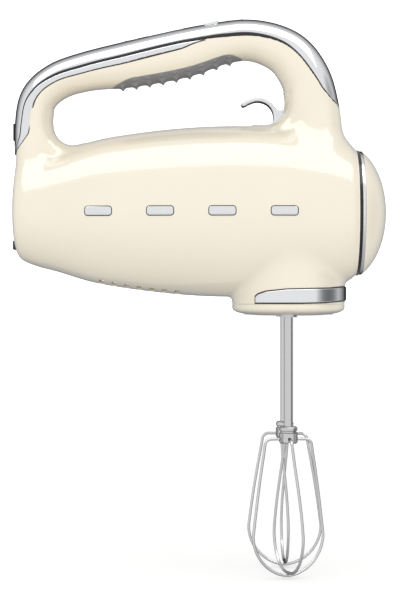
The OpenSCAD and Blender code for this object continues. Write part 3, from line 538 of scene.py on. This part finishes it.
def finish(name, colour, roughness, metallic=0.0, vary=0.04, uneven=0.25, patch=40, grain=900, depth=0.00002,
           stretch=(1, 1, 1), **sockets):
    """A moulded, plated or turned surface: its colour and gloss drift in patches, under a fine grain."""
    mat = bpy.data.materials.new(name)
    mat.use_nodes = True
    nodes, links = mat.node_tree.nodes, mat.node_tree.links
    shader = nodes["Principled BSDF"]
    place = nodes.new("ShaderNodeTexCoord")

    patches = noise(nodes, links, place, patch, 3.0, stretch)
    ramp_node = nodes.new("ShaderNodeValToRGB")
    dark, light = (tuple(c * k for c in colour) + (1,) for k in (1 - vary, 1 + vary))
    ramp_node.color_ramp.elements[0].color, ramp_node.color_ramp.elements[0].position = dark, 0.3
    ramp_node.color_ramp.elements[1].color, ramp_node.color_ramp.elements[1].position = light, 0.7
    links.new(patches, ramp_node.inputs["Fac"])
    links.new(ramp_node.outputs["Color"], shader.inputs["Base Color"])

    gloss = nodes.new("ShaderNodeMapRange")
    gloss.inputs["To Min"].default_value = roughness * (1 - uneven)
    gloss.inputs["To Max"].default_value = roughness * (1 + uneven)
    links.new(noise(nodes, links, place, patch * 3, 4.0, stretch), gloss.inputs["Value"])
    links.new(gloss.outputs["Result"], shader.inputs["Roughness"])

    bump = nodes.new("ShaderNodeBump")
    bump.inputs["Distance"].default_value = depth
    links.new(noise(nodes, links, place, grain, 3.0, stretch), bump.inputs["Height"])
    links.new(bump.outputs["Normal"], shader.inputs["Normal"])

    shader.inputs["Metallic"].default_value = metallic
    for socket, value in sockets.items():
        shader.inputs[socket.replace("_", " ")].default_value = value
    return mat


ALONG_Z = (1, 1, 0.03)
FINISHES = {
    "cream_plastic": finish("cream_plastic", (0.86, 0.79, 0.65), 0.22, vary=0.012, patch=25, grain=500,
                            depth=0.000004, Coat_Weight=1.0, Coat_Roughness=0.03),
    "chrome_trim": finish("chrome_trim", (0.80, 0.81, 0.83), 0.07, 1.0, vary=0.02, grain=700, depth=0.000003,
                          Specular_Tint=(0.03, 0.03, 0.03, 1)),
    "black_plastic": finish("black_plastic", (0.012, 0.012, 0.012), 0.2, vary=0.2, grain=1500, depth=0.000006),
    "display_window": finish("display_window", (0.006, 0.007, 0.009), 0.06, vary=0.1, depth=0.000002,
                             Coat_Weight=1.0, Coat_Roughness=0.02),
    "grey_rubber": finish("grey_rubber", (0.23, 0.23, 0.245), 0.55, vary=0.08, patch=120, grain=2600,
                          depth=0.00006),
    "black_rubber": finish("black_rubber", (0.02, 0.02, 0.02), 0.5, vary=0.15, patch=150, grain=2600,
                           depth=0.00006),
    "circuit_board": finish("circuit_board", (0.01, 0.10, 0.035), 0.35, vary=0.2, patch=300, grain=1500),
    "steel": finish("steel", (0.58, 0.59, 0.60), 0.25, 1.0, vary=0.05, patch=60, stretch=ALONG_Z),
    "zinc_steel": finish("zinc_steel", (0.50, 0.51, 0.53), 0.35, 1.0, vary=0.1, patch=90),
    "ferrite": finish("ferrite", (0.06, 0.06, 0.063), 0.7, vary=0.15, grain=2000, depth=0.00005),
    "carbon": finish("carbon", (0.02, 0.02, 0.02), 0.6, vary=0.2, grain=2500, depth=0.00004),
    "laminations": finish("laminations", (0.42, 0.26, 0.15), 0.4, 0.8, vary=0.15, patch=200,
                          stretch=(1, 0.1, 0.1)),
    "copper": finish("copper", (0.75, 0.38, 0.22), 0.28, 1.0, vary=0.08, patch=90),
    "white_nylon": finish("white_nylon", (0.78, 0.77, 0.70), 0.42, vary=0.03, grain=1200, depth=0.00001),
    "cast_aluminium": finish("cast_aluminium", (0.58, 0.59, 0.60), 0.45, 1.0, vary=0.08, grain=900,
                             depth=0.00008),
    "bronze": finish("bronze", (0.60, 0.42, 0.20), 0.4, 1.0, vary=0.1, grain=2200, depth=0.00003),
    "stainless": finish("stainless", (0.66, 0.66, 0.67), 0.2, 1.0, vary=0.04, patch=50, stretch=ALONG_Z,
                        grain=1600, depth=0.000006, Specular_Tint=(0.1, 0.1, 0.1, 1)),
}


def dress(obj, slot, body="housing", replaces=()):
    """Gives a finished piece its material, its body and the CAD nodes that it stands for."""
    obj.data.materials.clear()
    obj.data.materials.append(FINISHES[slot])
    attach(obj, body)
    if replaces:
        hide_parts(*replaces)
    return obj


def dress_cad_nodes():
    slots = {s["node"]: s["material_slot"] for s in frame["record"]["subparts"]}
    for name, obj in frame["nodes"].items():
        obj.data.materials.clear()
        obj.data.materials.append(FINISHES[slots[name]])


dress_cad_nodes()


# ---- the housing's skin ---------------------------------------------------------------------------
left_skin, right_skin = make_housing()
dress(left_skin, "cream_plastic", replaces=["left_shell"])
dress(right_skin, "cream_plastic", replaces=["right_shell"])


# ---- trim on the handle -----------------------------------------------------------------------------
MM_PER_DEGREE = 0.23


def eased(start, end, count):
    """Places from start to end, five times closer together at the ends."""
    t = np.linspace(0, 1, count)
    return start + (end - start) * (t - 0.8 * np.sin(2 * np.pi * t) / (2 * np.pi))


def handle_plate(name, places, low, high, top, bottom=-1.5, roll=0.5, across=40):
    """A plate on the handle between two angles, its long edges rolled down."""
    share = (1 - np.cos(np.linspace(0, np.pi, across))) / 2
    start, span = low(places)[:, None], (high(places) - low(places))[:, None]
    angle = start + span * share
    edge = span * np.minimum(share, 1 - share) * MM_PER_DEGREE
    rolled = np.clip(1 - edge / roll, 0, 1)
    upper = handle_point(places[:, None], angle, top - 0.7 * roll * (1 - np.sqrt(1 - rolled**2)))
    lower = handle_point(places[:, None], start + span * np.linspace(1, 0, 9), bottom)
    return loft(name, np.concatenate([upper, lower], 1), sharp_degrees=50)


def plate_pair(name, places, low, high, **options):
    return [handle_plate(name, places, low, high, **options),
            handle_plate(name, places, lambda u: -high(u), lambda u: -low(u), **options)]


def on_handle(u, points, shift_y=0.0):
    """Moves points drawn along, across and out of the handle to their place at u."""
    points = np.asarray(points, float)
    _, (ax, az), (ox, oz) = handle_frame(u)
    x, y, z = points[..., 0], points[..., 1] + shift_y, points[..., 2]
    base = handle_point(u, 0)
    return base + np.stack([ax * x + ox * z, y, az * x + oz * z], -1)


def rounded_outline(width, depth, r, inset=0.0, corner=8):
    """A rounded rectangle's outline, anticlockwise."""
    half_w, half_d, r = width / 2 - inset, depth / 2 - inset, max(r - inset, 0.05)
    turns = np.radians(np.linspace(0, 90, corner))
    points = []
    for k, (sx, sy) in enumerate([(1, 1), (-1, 1), (-1, -1), (1, -1)]):
        a = turns + k * np.pi / 2
        points += list(np.stack([sx * (half_w - r) + r * np.cos(a), sy * (half_d - r) + r * np.sin(a)], -1))
    return np.array(points)


def slab_rings(size, r, levels):
    """Rings of a rounded block: each level is (height, inset)."""
    rings = []
    for z, inset in levels:
        o = rounded_outline(*size, r, inset)
        rings.append(np.column_stack([o, np.full(len(o), float(z))]))
    return np.array(rings)


POWER_U, DISPLAY_U, SPEED_U, TURBO_U = 6.12, 6.75, 7.8, 8.48
SPEED_Y = 4.9
POWER_SIZE, DISPLAY_SIZE, SPEED_SIZE, TURBO_SIZE = (9, 9), (21, 13), (8.4, 8.6), (9, 11)
BUTTON_GAP = 0.35


def opening(u, size, gap, r, shift_y=0.0):
    size = (size[0] + 2 * gap, size[1] + 2 * gap)
    return loft("opening", on_handle(u, slab_rings(size, r, [(-6, 0), (3, 0)]), shift_y))


def make_cap():
    places = eased(TRIM_FROM, TRIM_TO, 300)
    cap = handle_plate("chrome_cap", places, lambda u: -trim_edge(u), trim_edge, top=0.1, roll=0.7, across=64)
    foot_pocket = box_object("pocket", (-4, -4.2, 97.8), (1.3, 4.2, 107.7))
    return without(
        cap, opening(POWER_U, POWER_SIZE, BUTTON_GAP, 3), opening(DISPLAY_U, DISPLAY_SIZE, 0, 2),
        opening(SPEED_U, SPEED_SIZE, BUTTON_GAP, 2, SPEED_Y),
        opening(SPEED_U, SPEED_SIZE, BUTTON_GAP, 2, -SPEED_Y),
        opening(TURBO_U, TURBO_SIZE, BUTTON_GAP, 3), foot_pocket)


dress(make_cap(), "chrome_trim", replaces=["top_trim"])
seal_places = eased(TRIM_FROM, TRIM_TO, 300)
rail_places = eased(TRIM_FROM, RAIL_TO, 220)
painted_shadow_line_places = eased(TRIM_FROM - 0.02, RAIL_TO + 0.1, 240)
# The black strip between the chrome cap and the side rail is a painted dark reflection of the chrome.
seal = plate_pair("seal", seal_places, trim_edge, seal_edge, top=0.0, roll=0.2, across=12)
# The thin black strip along the rail's lower edge is a painted shadow line.
seal += plate_pair("painted_shadow_line", painted_shadow_line_places, lambda u: rail_edge(u) - 0.3, lambda u: rail_edge(u) + 2,
                   top=0.14, bottom=-0.6, roll=0.15, across=8)
dress(joined("trim_seal_pieces", seal), "black_plastic", replaces=["trim_seal"])
rails = plate_pair("rail", rail_places, lambda u: seal_edge(u) + 0.2, rail_edge, top=0.08, roll=0.5, across=28)
dress(joined("chrome_rails", rails), "chrome_trim", replaces=["side_rails"])


# ---- grip pad ---------------------------------------------------------------------------------------
def make_pad():
    """A rubber pad under the grip with rows of pointed bumps."""
    u = np.linspace(PAD_FROM, PAD_TO, 300)
    inside_x = handle_point(u, 180)[:, 0]
    bump_u = np.interp(61.3 + 7.5 * np.arange(9), inside_x, u)
    share = np.linspace(-1, 1, 121)
    angle = pad_edge(u)[:, None] * share
    place = handle_point(u[:, None], 180 + angle)
    lift = np.zeros(angle.shape)
    for at in bump_u:
        for row, tall in ((-40, 1.0), (-21, 1.7), (0, 2.0), (21, 1.7), (40, 1.0)):
            if pad_edge(at) < abs(row) + 4:
                continue
            far = np.linalg.norm(place - handle_point(at, 180 + row), axis=-1)
            lift = np.maximum(lift, tall * np.exp(-(np.hypot(far, 0.35) - 0.35) / 0.95))
    edge = pad_edge(u)[:, None] * (1 - np.abs(share)) * MM_PER_DEGREE
    rolled = np.clip(1 - edge / 0.5, 0, 1)
    upper = handle_point(u[:, None], 180 + angle, 0.15 + lift - 0.5 * (1 - np.sqrt(1 - rolled**2)))
    lower = handle_point(u[:, None], 180 + pad_edge(u)[:, None] * np.linspace(1, -1, 13), -1.4)
    return loft("ribbed_pad", np.concatenate([upper, lower], 1), sharp_degrees=60)


dress(make_pad(), "grey_rubber", replaces=["grip_pad"])


# ---- top controls -----------------------------------------------------------------------------------
def wrapped(u, points):
    """Like on_handle, but the points' height is measured from the handle's curved surface."""
    points = np.asarray(points, float)
    per_u = np.linalg.norm((along(HANDLE, u + 0.01) - along(HANDLE, u - 0.01))[:2]) / 0.02
    place = u + points[..., 0] / per_u
    wide = along(HANDLE, place)[..., 3] + points[..., 2]
    angle = np.degrees(np.arcsin(np.clip(np.abs(points[..., 1]) / wide, 0, 1) ** (HANDLE_POWER / 2)))
    return handle_point(place, -np.sign(points[..., 1]) * angle, points[..., 2])


def mark(u, shapes, shift_y=0.0, z=0.17, tall=0.08):
    """Raised strokes on a button: each shape is a box given as (x, y, width, depth, turn)."""
    strokes = []
    for x, y, w, d, turn in shapes:
        rings = slab_rings((w, d), min(w, d) / 2 - 0.01, [(z, 0), (z + tall, 0), (z + tall + 0.02, 0.06)])
        a = math.radians(turn)
        turned = rings @ np.array([(math.cos(a), math.sin(a), 0), (-math.sin(a), math.cos(a), 0), (0, 0, 1)])
        strokes.append(loft("stroke", on_handle(u, turned + (x, y, 0), shift_y)))
    return joined("mark", strokes)


BUTTON_LEVELS = [(-2, 0), (-0.25, 0), (-0.05, 0.06), (0.08, 0.2), (0.15, 0.45), (0.18, 0.9), (0.2, 2.2)]
BUTTONS = [
    ("power", POWER_U, POWER_SIZE, 0.0,
     [(0.6, 0, 2.2, 0.5, 0), (-1.5, 0, 0.5, 3.0, 0), (-0.9, 1.3, 1.4, 0.5, 35), (-0.9, -1.3, 1.4, 0.5, -35)]),
    ("minus", SPEED_U, SPEED_SIZE, -SPEED_Y, [(0, 0, 0.7, 3.4, 0)]),
    ("plus", SPEED_U, SPEED_SIZE, SPEED_Y, [(0, 0, 0.7, 3.4, 0), (0, 0, 3.4, 0.7, 0)]),
    ("turbo", TURBO_U, TURBO_SIZE, 0.0, [(-0.9, 1, 2.6, 0.6, -45), (-0.9, -1, 2.6, 0.6, 45),
                                         (1.1, 1, 2.6, 0.6, -45), (1.1, -1, 2.6, 0.6, 45)]),
]
for name, u, size, shift_y, strokes in BUTTONS:
    rings = on_handle(u, slab_rings(size, 2, BUTTON_LEVELS), shift_y)
    block = loft(name + "_key_cap", rings, sharp_degrees=60)
    dress(block, "chrome_trim", name + "_key", [name + "_button"])
    dress(mark(u, strokes, shift_y), "black_plastic", name + "_key")

LENS_LEVELS = [(-1.6, 0.15), (-0.3, 0.15), (-0.14, 0.25), (-0.08, 0.5), (-0.05, 1), (-0.04, 2), (-0.04, 3),
               (-0.04, 4.5), (-0.04, 6.2)]
lens_rings = wrapped(DISPLAY_U, slab_rings(DISPLAY_SIZE, 2, LENS_LEVELS))
lens = loft("display_lens_glass", lens_rings, sharp_degrees=60)
dress(lens, "display_window", replaces=["display_lens"])
bars = []
for i in range(5):
    rings = slab_rings((1.2, 2 + 1.2 * i), 0.3, [(-0.3, 0), (0.0, 0), (0.03, 0.08), (0.03, 0.5)])
    bars.append(loft("bar", wrapped(DISPLAY_U, rings + (2.4 * i - 4.8, 0, 0))))
dress(joined("speed_bars", bars), "white_nylon")


# ---- nose -------------------------------------------------------------------------------------------
GASKET_END, RING_END = NOSE_X + 1.8, NOSE_X + 3.8


def nose_ring(name, levels, inner):
    """A rounded band round the nose: each level is (x, how far out from the nose's oval)."""
    a = np.linspace(0, 2 * np.pi, 200, endpoint=False)
    levels = list(levels) + [(levels[-1][0], -inner), (levels[0][0], -inner)]
    rings = [np.stack([np.full(200, float(x)), (32 + g) * np.sin(a), AXIS_Z + (35.2 + g) * np.cos(a)], -1)
             for x, g in levels]
    return loft(name, rings, closed=True, sharp_degrees=50)


DOME_DEPTH, DOME_BEND = 13.5, 1.1


def make_dome():
    """Its section is part of a circle, flattened."""
    a = np.linspace(0, 2 * np.pi, 160, endpoint=False)
    rings = []
    for share in [1] + list(np.cos(np.linspace(0.04, np.pi / 2 - 0.03, 46))):
        rise = [math.sqrt(DOME_BEND**2 - r * r) for r in (share, 1, 0)]
        x = RING_END + DOME_DEPTH * (rise[0] - rise[1]) / (rise[2] - rise[1])
        y, z = 31.1 * share * np.sin(a), AXIS_Z + 34.3 * share * np.cos(a)
        rings.append(np.stack([np.full(160, x), y, z], -1))
    rings.insert(0, rings[0] - (0.6, 0, 0))
    return loft("nose_dome", rings, sharp_degrees=60)


dress(nose_ring("nose_seal_band", [(NOSE_X - 1, -0.4), (NOSE_X + 0.02, -0.4), (NOSE_X + 0.15, 0.0),
                                   (GASKET_END - 0.15, 0.0), (GASKET_END, -0.15)], 6),
      "black_plastic", replaces=["nose_gasket"])
dress(nose_ring("nose_chrome_band", [(GASKET_END + 0.02, -0.75), (GASKET_END + 0.3, -0.5),
                                     (RING_END - 0.5, -0.5), (RING_END - 0.15, -0.65), (RING_END, -0.95)], 6),
      "chrome_trim", replaces=["nose_ring"])
dress(make_dome(), "cream_plastic", replaces=["nose_cap"])


# ---- gear head's cap and band -----------------------------------------------------------------------
BASE_SCREWS = [(132.5, 0), (176.5, 0), (154.5, -12), (154.5, 12)]


def make_base():
    profile = np.array([(0, 16), (0.12, 13), (0.35, 10), (0.62, 8), (0.95, 6), (1.5, 3.6), (2.2, 1.8),
                        (3.1, 0.6), (4.2, 0.05), (6.0, 0), (6.28, 0.15), (6.3, 0.5)], float)
    fine = along(profile, np.linspace(0, len(profile) - 1, 70))
    half_x, half_y = HEAD_HALF
    outer = [oval(HEAD_X, half_x - inset, half_y - inset, z, 160) for z, inset in fine]
    inner = [oval(HEAD_X, half_x - 2.4, half_y - 2.4, z, 160) for z in (6.3, 3.0)]
    tools = [rod("hole", (SPINDLE_X, y, -3), (SPINDLE_X, y, 9), 5.7, 64) for y in (-SPINDLE_Y, SPINDLE_Y)]
    tools += [rod("hole", (x, y, -3), (x, y, 1.4), 3, 40) for x, y in BASE_SCREWS]
    return without(loft("base_cap_cover", outer + inner, sharp_degrees=40), *tools)


dress(make_base(), "cream_plastic", replaces=["base_cap"])


def crescent(name, past, lift, roll):
    """A strip round the front of the gear head with its edges rolled; past widens it."""
    top = np.array([(134.9, 9.4), (135.4, 10.4), (137.0, 11.8), (141, 13.2), (152, 14.35), (166, 14.7),
                    (177, 15.0), (188, 16.3)])
    bottom = np.array([(134, 7.0), (160, 7.0), (172, 7.3), (188, 8.5)])
    half_x, half_y = HEAD_HALF
    end = math.degrees(math.acos((135 - past - HEAD_X) / (half_x + 0.6)))
    turn = np.radians(end * np.sin(np.linspace(-np.pi / 2, np.pi / 2, 220)))[:, None]
    x = HEAD_X + half_x * np.cos(turn[:, 0])
    low = np.interp(x, *bottom.T)[:, None] - past
    high = np.interp(x + past, *top.T)[:, None] + past
    share = (1 - np.cos(np.linspace(0, np.pi, 36))) / 2
    z = low + (high - low) * share
    from_end = (math.radians(end) - np.abs(turn)) * 33
    edge = np.minimum(np.minimum(z - low, high - z), from_end)
    rolled = np.clip(1 - edge / roll, 0, 1)
    lift = lift - 0.65 * lift * (1 - np.sqrt(1 - rolled**2))
    front = np.stack([HEAD_X + (half_x + lift) * np.cos(turn), (half_y + lift) * np.sin(turn), z], -1)
    back_z = low + (high - low) * np.linspace(1, 0, 6)
    back = np.stack([HEAD_X + (half_x - 0.3) * np.cos(turn) + 0 * back_z,
                     (half_y - 0.3) * np.sin(turn) + 0 * back_z, back_z], -1)
    return loft(name, np.concatenate([front, back], 1), sharp_degrees=50)


dress(crescent("chrome_crescent", 0, 0.9, 0.5), "chrome_trim", replaces=["head_band"])
# A black strip just wider than the chrome band, under its edges: a painted dark reflection of the band's
# rolled edges.
dress(crescent("crescent_painted_dark_edge", 0.55, 0.35, 0.2), "black_plastic")


# ---- small outer pieces -----------------------------------------------------------------------------
def make_badges(name, grow, top):
    """Four plain bars in a row on each side of the body."""
    levels = [(-0.8, 0), (top - 0.2, 0), (top - 0.07, 0.07), (top, 0.25), (top, 1.4), (top, 2.3)]
    bars = []
    for side in (-1, 1):
        for x in (49.5, 83.2, 116.9, 150.6):
            rings = slab_rings((14.4 + 2 * grow, 4.8 + 2 * grow), 1.5 + grow, levels)
            at = rings[..., 0] + x
            wide = np.interp(at, BODY_FINE[:, 0], BODY_FINE[:, 3])
            bars.append(loft("bar", np.stack([at, side * (wide + rings[..., 2]), 57 + rings[..., 1]], -1)))
    return joined(name, bars)


def make_gland():
    """The collar round the cord inlet, turned about its axis."""
    profile = [(0.3, 3.4), (0.1, 3.6), (0.1, 4.7), (0.3, 4.9), (0.5, 4.9), (0.6, 6.4), (11.6, 6.4),
               (11.6, 3.4)]
    a = np.linspace(0, 2 * np.pi, 64, endpoint=False)
    rings = [np.stack([np.full(64, x), r * np.cos(a), GLAND_Z + r * np.sin(a)], -1) for x, r in profile]
    return loft("inlet_collar", rings, closed=True, sharp_degrees=30)


def make_foot(name, low, high, grooves):
    foot = bevelled(box_object(name, low, high), 0.35)
    tools = [box_object("groove", (low[0] - 1, low[1] + 1, z - 0.25), (low[0] + 0.3, high[1] - 1, z + 0.25))
             for z in grooves]
    return without(foot, *tools)


dress(make_badges("side_bars", 0, 0.47), "chrome_trim", replaces=["badge_bars"])
# Black plates just larger than the chrome bars, under them: painted dark reflections round the bars' edges.
dress(make_badges("side_bar_painted_dark_edges", 0.4, 0.22), "black_plastic")
dress(make_gland(), "cream_plastic", replaces=["cord_gland"])
dress(make_foot("upper_foot", (0, -4, 98), (1.25, 4, 107.5), (100.5, 102.75, 105)), "black_rubber",
      replaces=["heel_foot_upper"])
dress(make_foot("lower_foot", (0, -6, 36.8), (3.3, 6, 41.8), (39.3,)), "black_rubber",
      replaces=["heel_foot_lower"])


# ---- eject lever ------------------------------------------------------------------------------------
PIVOT = np.array([158.4, 112.0])


def arc(centre, r, start, end, steps):
    a = np.radians(np.linspace(start, end, steps + 1))
    return [(centre[0] + r * math.cos(t), centre[1] + r * math.sin(t)) for t in a]


def shrunk(outline, inset):
    """The outline moved in by inset along its corners' normals."""
    points = np.array(outline, float)
    turned = (points[:, 0] * np.roll(points[:, 1], -1) - points[:, 1] * np.roll(points[:, 0], -1)).sum()
    inset = -inset if turned > 0 else inset
    step_in, step_out = points - np.roll(points, 1, 0), np.roll(points, -1, 0) - points
    normals = [np.stack([d[:, 1], -d[:, 0]], -1) / np.linalg.norm(d, axis=1, keepdims=True)
               for d in (step_in, step_out)]
    both = normals[0] + normals[1]
    both /= np.maximum((both * normals[0]).sum(1, keepdims=True), 0.5)
    return points + inset * both


def make_lever():
    hook = (137.2, 111.1)
    outline = (arc((129.1, 118.25), 1.15, 290, 120, 14) + arc(hook, 10.9, 118, 33, 40)
               + arc((149.6, 118.3), 3.2, 215, 350, 28)
               + [(153.3, 120.6), (153.7, 124.2), (154.9, 124.4), (156.6, 117)] + arc(PIVOT, 4, 70, 40, 8)
               + [(175, 109.4), (175, 106.8)] + arc(PIVOT, 4, -52, -80, 8)
               + [(154.5, 107.8), (150, 106.2), (145, 104.9), (141.6, 104.5), (141.2, 105.8), (142.7, 106.3),
                  (143.9, 106.85), (144.8, 107.55)]
               + arc(hook, 8.8, -18, 112, 48) + [(131.6, 118.35), (130.6, 117.6)])
    points, faces, n = [], [], len(outline)
    half_w, round_y, round_in = 5.5, 0.8, 0.55
    turns = np.radians(range(0, 91, 15))
    levels = [(-half_w + round_y * (1 - math.cos(a)), round_in * (1 - math.sin(a))) for a in turns]
    levels += [(-y, inset) for y, inset in reversed(levels)]
    for y, inset in levels:
        points += [(x, y, z) for x, z in shrunk(outline, inset)]
    for k in range(len(levels) - 1):
        faces += [(k * n + i, k * n + n + i, k * n + n + (i + 1) % n, k * n + (i + 1) % n) for i in range(n)]
    faces += [tuple(range(n)), tuple(range(len(points) - 1, len(points) - 1 - n, -1))]
    lever = mesh_object("lever_hook", points, faces, 50)
    return without(lever, rod("hole", (PIVOT[0], -8, PIVOT[1]), (PIVOT[0], 8, PIVOT[1]), 1.65, 48))


dress(make_lever(), "chrome_trim", "lever", ["eject_lever"])


# ---- whisk wires ------------------------------------------------------------------------------------
WHISK_R, WIRE_D, WIRE_TOP, WHISK_LOW, WIDE_Z, WIRE_TWIST = 20.8, 1.6, -68.0, -143.2, -121.0, 15


def wire_half():
    """Half a loop in X and Z: out of the hub, round a shoulder, out to the widest place, in to the bottom."""
    shoulder, neck, start = 3.7, 13.0, WIRE_TOP - 3.7
    points = [(3.6, WIRE_TOP), (6.5, WIRE_TOP)] + arc((neck - shoulder, start), shoulder, 90, 12, 6)
    for t in np.arange(1, 12) / 12:
        points.append((neck + (WHISK_R - neck) * (0.75 * t + 0.25 * math.sin(math.pi / 2 * t)),
                       start - 0.5 + (WIDE_Z - start + 0.5) * t))
    for t in np.radians(np.arange(0, 91, 7.5)):
        points.append((WHISK_R * max(math.cos(t), 0) ** 1.1, WIDE_Z + (WHISK_LOW - WIDE_Z) * math.sin(t)))
    return np.array(points)


def make_wires(name, side, turn):
    half = wire_half()
    flat = np.concatenate([half, half[-2::-1] * (-1, 1)])
    flat = along(flat, np.linspace(0, len(flat) - 1, 260))
    loops = []
    for drop, angle in ((0.0, turn), (WIRE_D + 0.1, turn + 90)):
        z = flat[:, 1] + drop * np.maximum(0, 1 - np.abs(flat[:, 0]) / WHISK_R) ** 2 * (flat[:, 1] < WIDE_Z)
        a = np.radians(angle + WIRE_TWIST * ramp(flat[:, 1], WIRE_TOP, WIDE_Z))
        x, y = SPINDLE_X + flat[:, 0] * np.cos(a), side * SPINDLE_Y + flat[:, 0] * np.sin(a)
        path = np.stack([x, y, z], -1)
        loops.append(sweep("loop", path, WIRE_D / 2))
    return joined(name, loops)


dress(make_wires("left_wires", 1, -12), "stainless", "left_whisk", ["whisk_wires_left"])
dress(make_wires("right_wires", -1, 5), "stainless", "right_whisk", ["whisk_wires_right"])


# ---- light ------------------------------------------------------------------------------------------
def graded(tree, share, stops):
    """A grey that follows a direction's share of an axis: stops are (share from -1 to 1, brightness)."""
    halved = tree.nodes.new("ShaderNodeMapRange")
    halved.inputs["From Min"].default_value = -1
    tree.links.new(share, halved.inputs["Value"])
    ramp_node = tree.nodes.new("ShaderNodeValToRGB")
    elements = ramp_node.color_ramp.elements
    while len(elements) < len(stops):
        elements.new(0.5)
    for element, (at, grey) in zip(elements, stops):
        element.position, element.color = (at + 1) / 2, (grey, grey, grey, 1)
    tree.links.new(halved.outputs["Result"], ramp_node.inputs["Fac"])
    return ramp_node.outputs["Color"]


def product(tree, a, b):
    times = tree.nodes.new("ShaderNodeMix")
    times.data_type, times.blend_type = "RGBA", "MULTIPLY"
    times.inputs["Factor"].default_value = 1.0
    tree.links.new(a, times.inputs["A"])
    tree.links.new(b, times.inputs["B"])
    return times.outputs["Result"]


def chosen(tree, factor, a, b):
    mix = tree.nodes.new("ShaderNodeMix")
    mix.data_type = "RGBA"
    tree.links.new(factor, mix.inputs["Factor"])
    tree.links.new(a, mix.inputs["A"])
    tree.links.new(b, mix.inputs["B"])
    return mix.outputs["Result"]


def make_world():
    """A white room: soft light from the front and above, and darker walls behind for the chrome to mirror."""
    world = bpy.data.worlds.new("studio")
    bpy.context.scene.world = world
    world.use_nodes = True
    tree = world.node_tree
    place = tree.nodes.new("ShaderNodeTexCoord")
    split = tree.nodes.new("ShaderNodeSeparateXYZ")
    tree.links.new(place.outputs["Generated"], split.inputs["Vector"])
    soft = product(tree, graded(tree, split.outputs["Y"], [(-1, 0.97), (1, 0.30)]),
                   graded(tree, split.outputs["Z"], [(-1, 0.79), (1, 1.0)]))
    mirrored = product(
        tree, graded(tree, split.outputs["Y"], [(-1, 0.63), (0.0, 0.61), (0.5, 0.5), (0.85, 0.36), (1, 0.2)]),
        graded(tree, split.outputs["Z"], [(-1, 0.5), (-0.3, 0.9), (0, 1), (1, 1)]))
    mirrored = product(tree, mirrored, graded(tree, split.outputs["X"], [(-1, 1), (0.85, 1), (0.97, 0.3),
                                                                         (1, 0.2)]))
    white = graded(tree, split.outputs["Y"], [(-1, 1.0), (1, 1.0)])
    path = tree.nodes.new("ShaderNodeLightPath")
    light = chosen(tree, path.outputs["Is Glossy Ray"], soft, mirrored)
    light = chosen(tree, path.outputs["Is Camera Ray"], light, white)
    tree.links.new(light, tree.nodes["Background"].inputs["Color"])
    tree.nodes["Background"].inputs["Strength"].default_value = 1.5


def softbox(name, centre, size, radiance, seen_by_diffuse=True):
    """A rectangular lamp that points at the middle of the mixer."""
    data = bpy.data.lights.new(name, "AREA")
    data.shape, data.size, data.size_y = "RECTANGLE", size[0], size[1]
    data.energy = radiance * math.pi * size[0] * size[1]
    lamp = bpy.data.objects.new(name, data)
    bpy.context.scene.collection.objects.link(lamp)
    lamp.location = centre
    lamp.rotation_euler = (-Vector(centre)).to_track_quat("-Z", "Y").to_euler()
    lamp.visible_diffuse = seen_by_diffuse
    return lamp


def make_floor():
    floor_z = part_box("whisk_wires_left")[0].z - 0.001
    half = 20
    mesh = bpy.data.meshes.new("floor")
    mesh.from_pydata([(-half, -half, floor_z), (half, -half, floor_z), (half, half, floor_z),
                      (-half, half, floor_z)], [], [(0, 1, 2, 3)])
    floor = bpy.data.objects.new("floor", mesh)
    bpy.context.scene.collection.objects.link(floor)
    mesh.materials.append(finish("floor_paper", (0.93, 0.93, 0.93), 0.8, vary=0.01, patch=2, depth=0.0001,
                                 Emission_Color=(1, 1, 1, 1), Emission_Strength=0.22))
    floor.visible_diffuse = floor.visible_glossy = False


make_world()
make_floor()
softbox("overhead", (0.0, -0.33, 1.0), (2.4, 0.85), 2.1, seen_by_diffuse=False)
bpy.context.scene.view_settings.view_transform = "Standard"
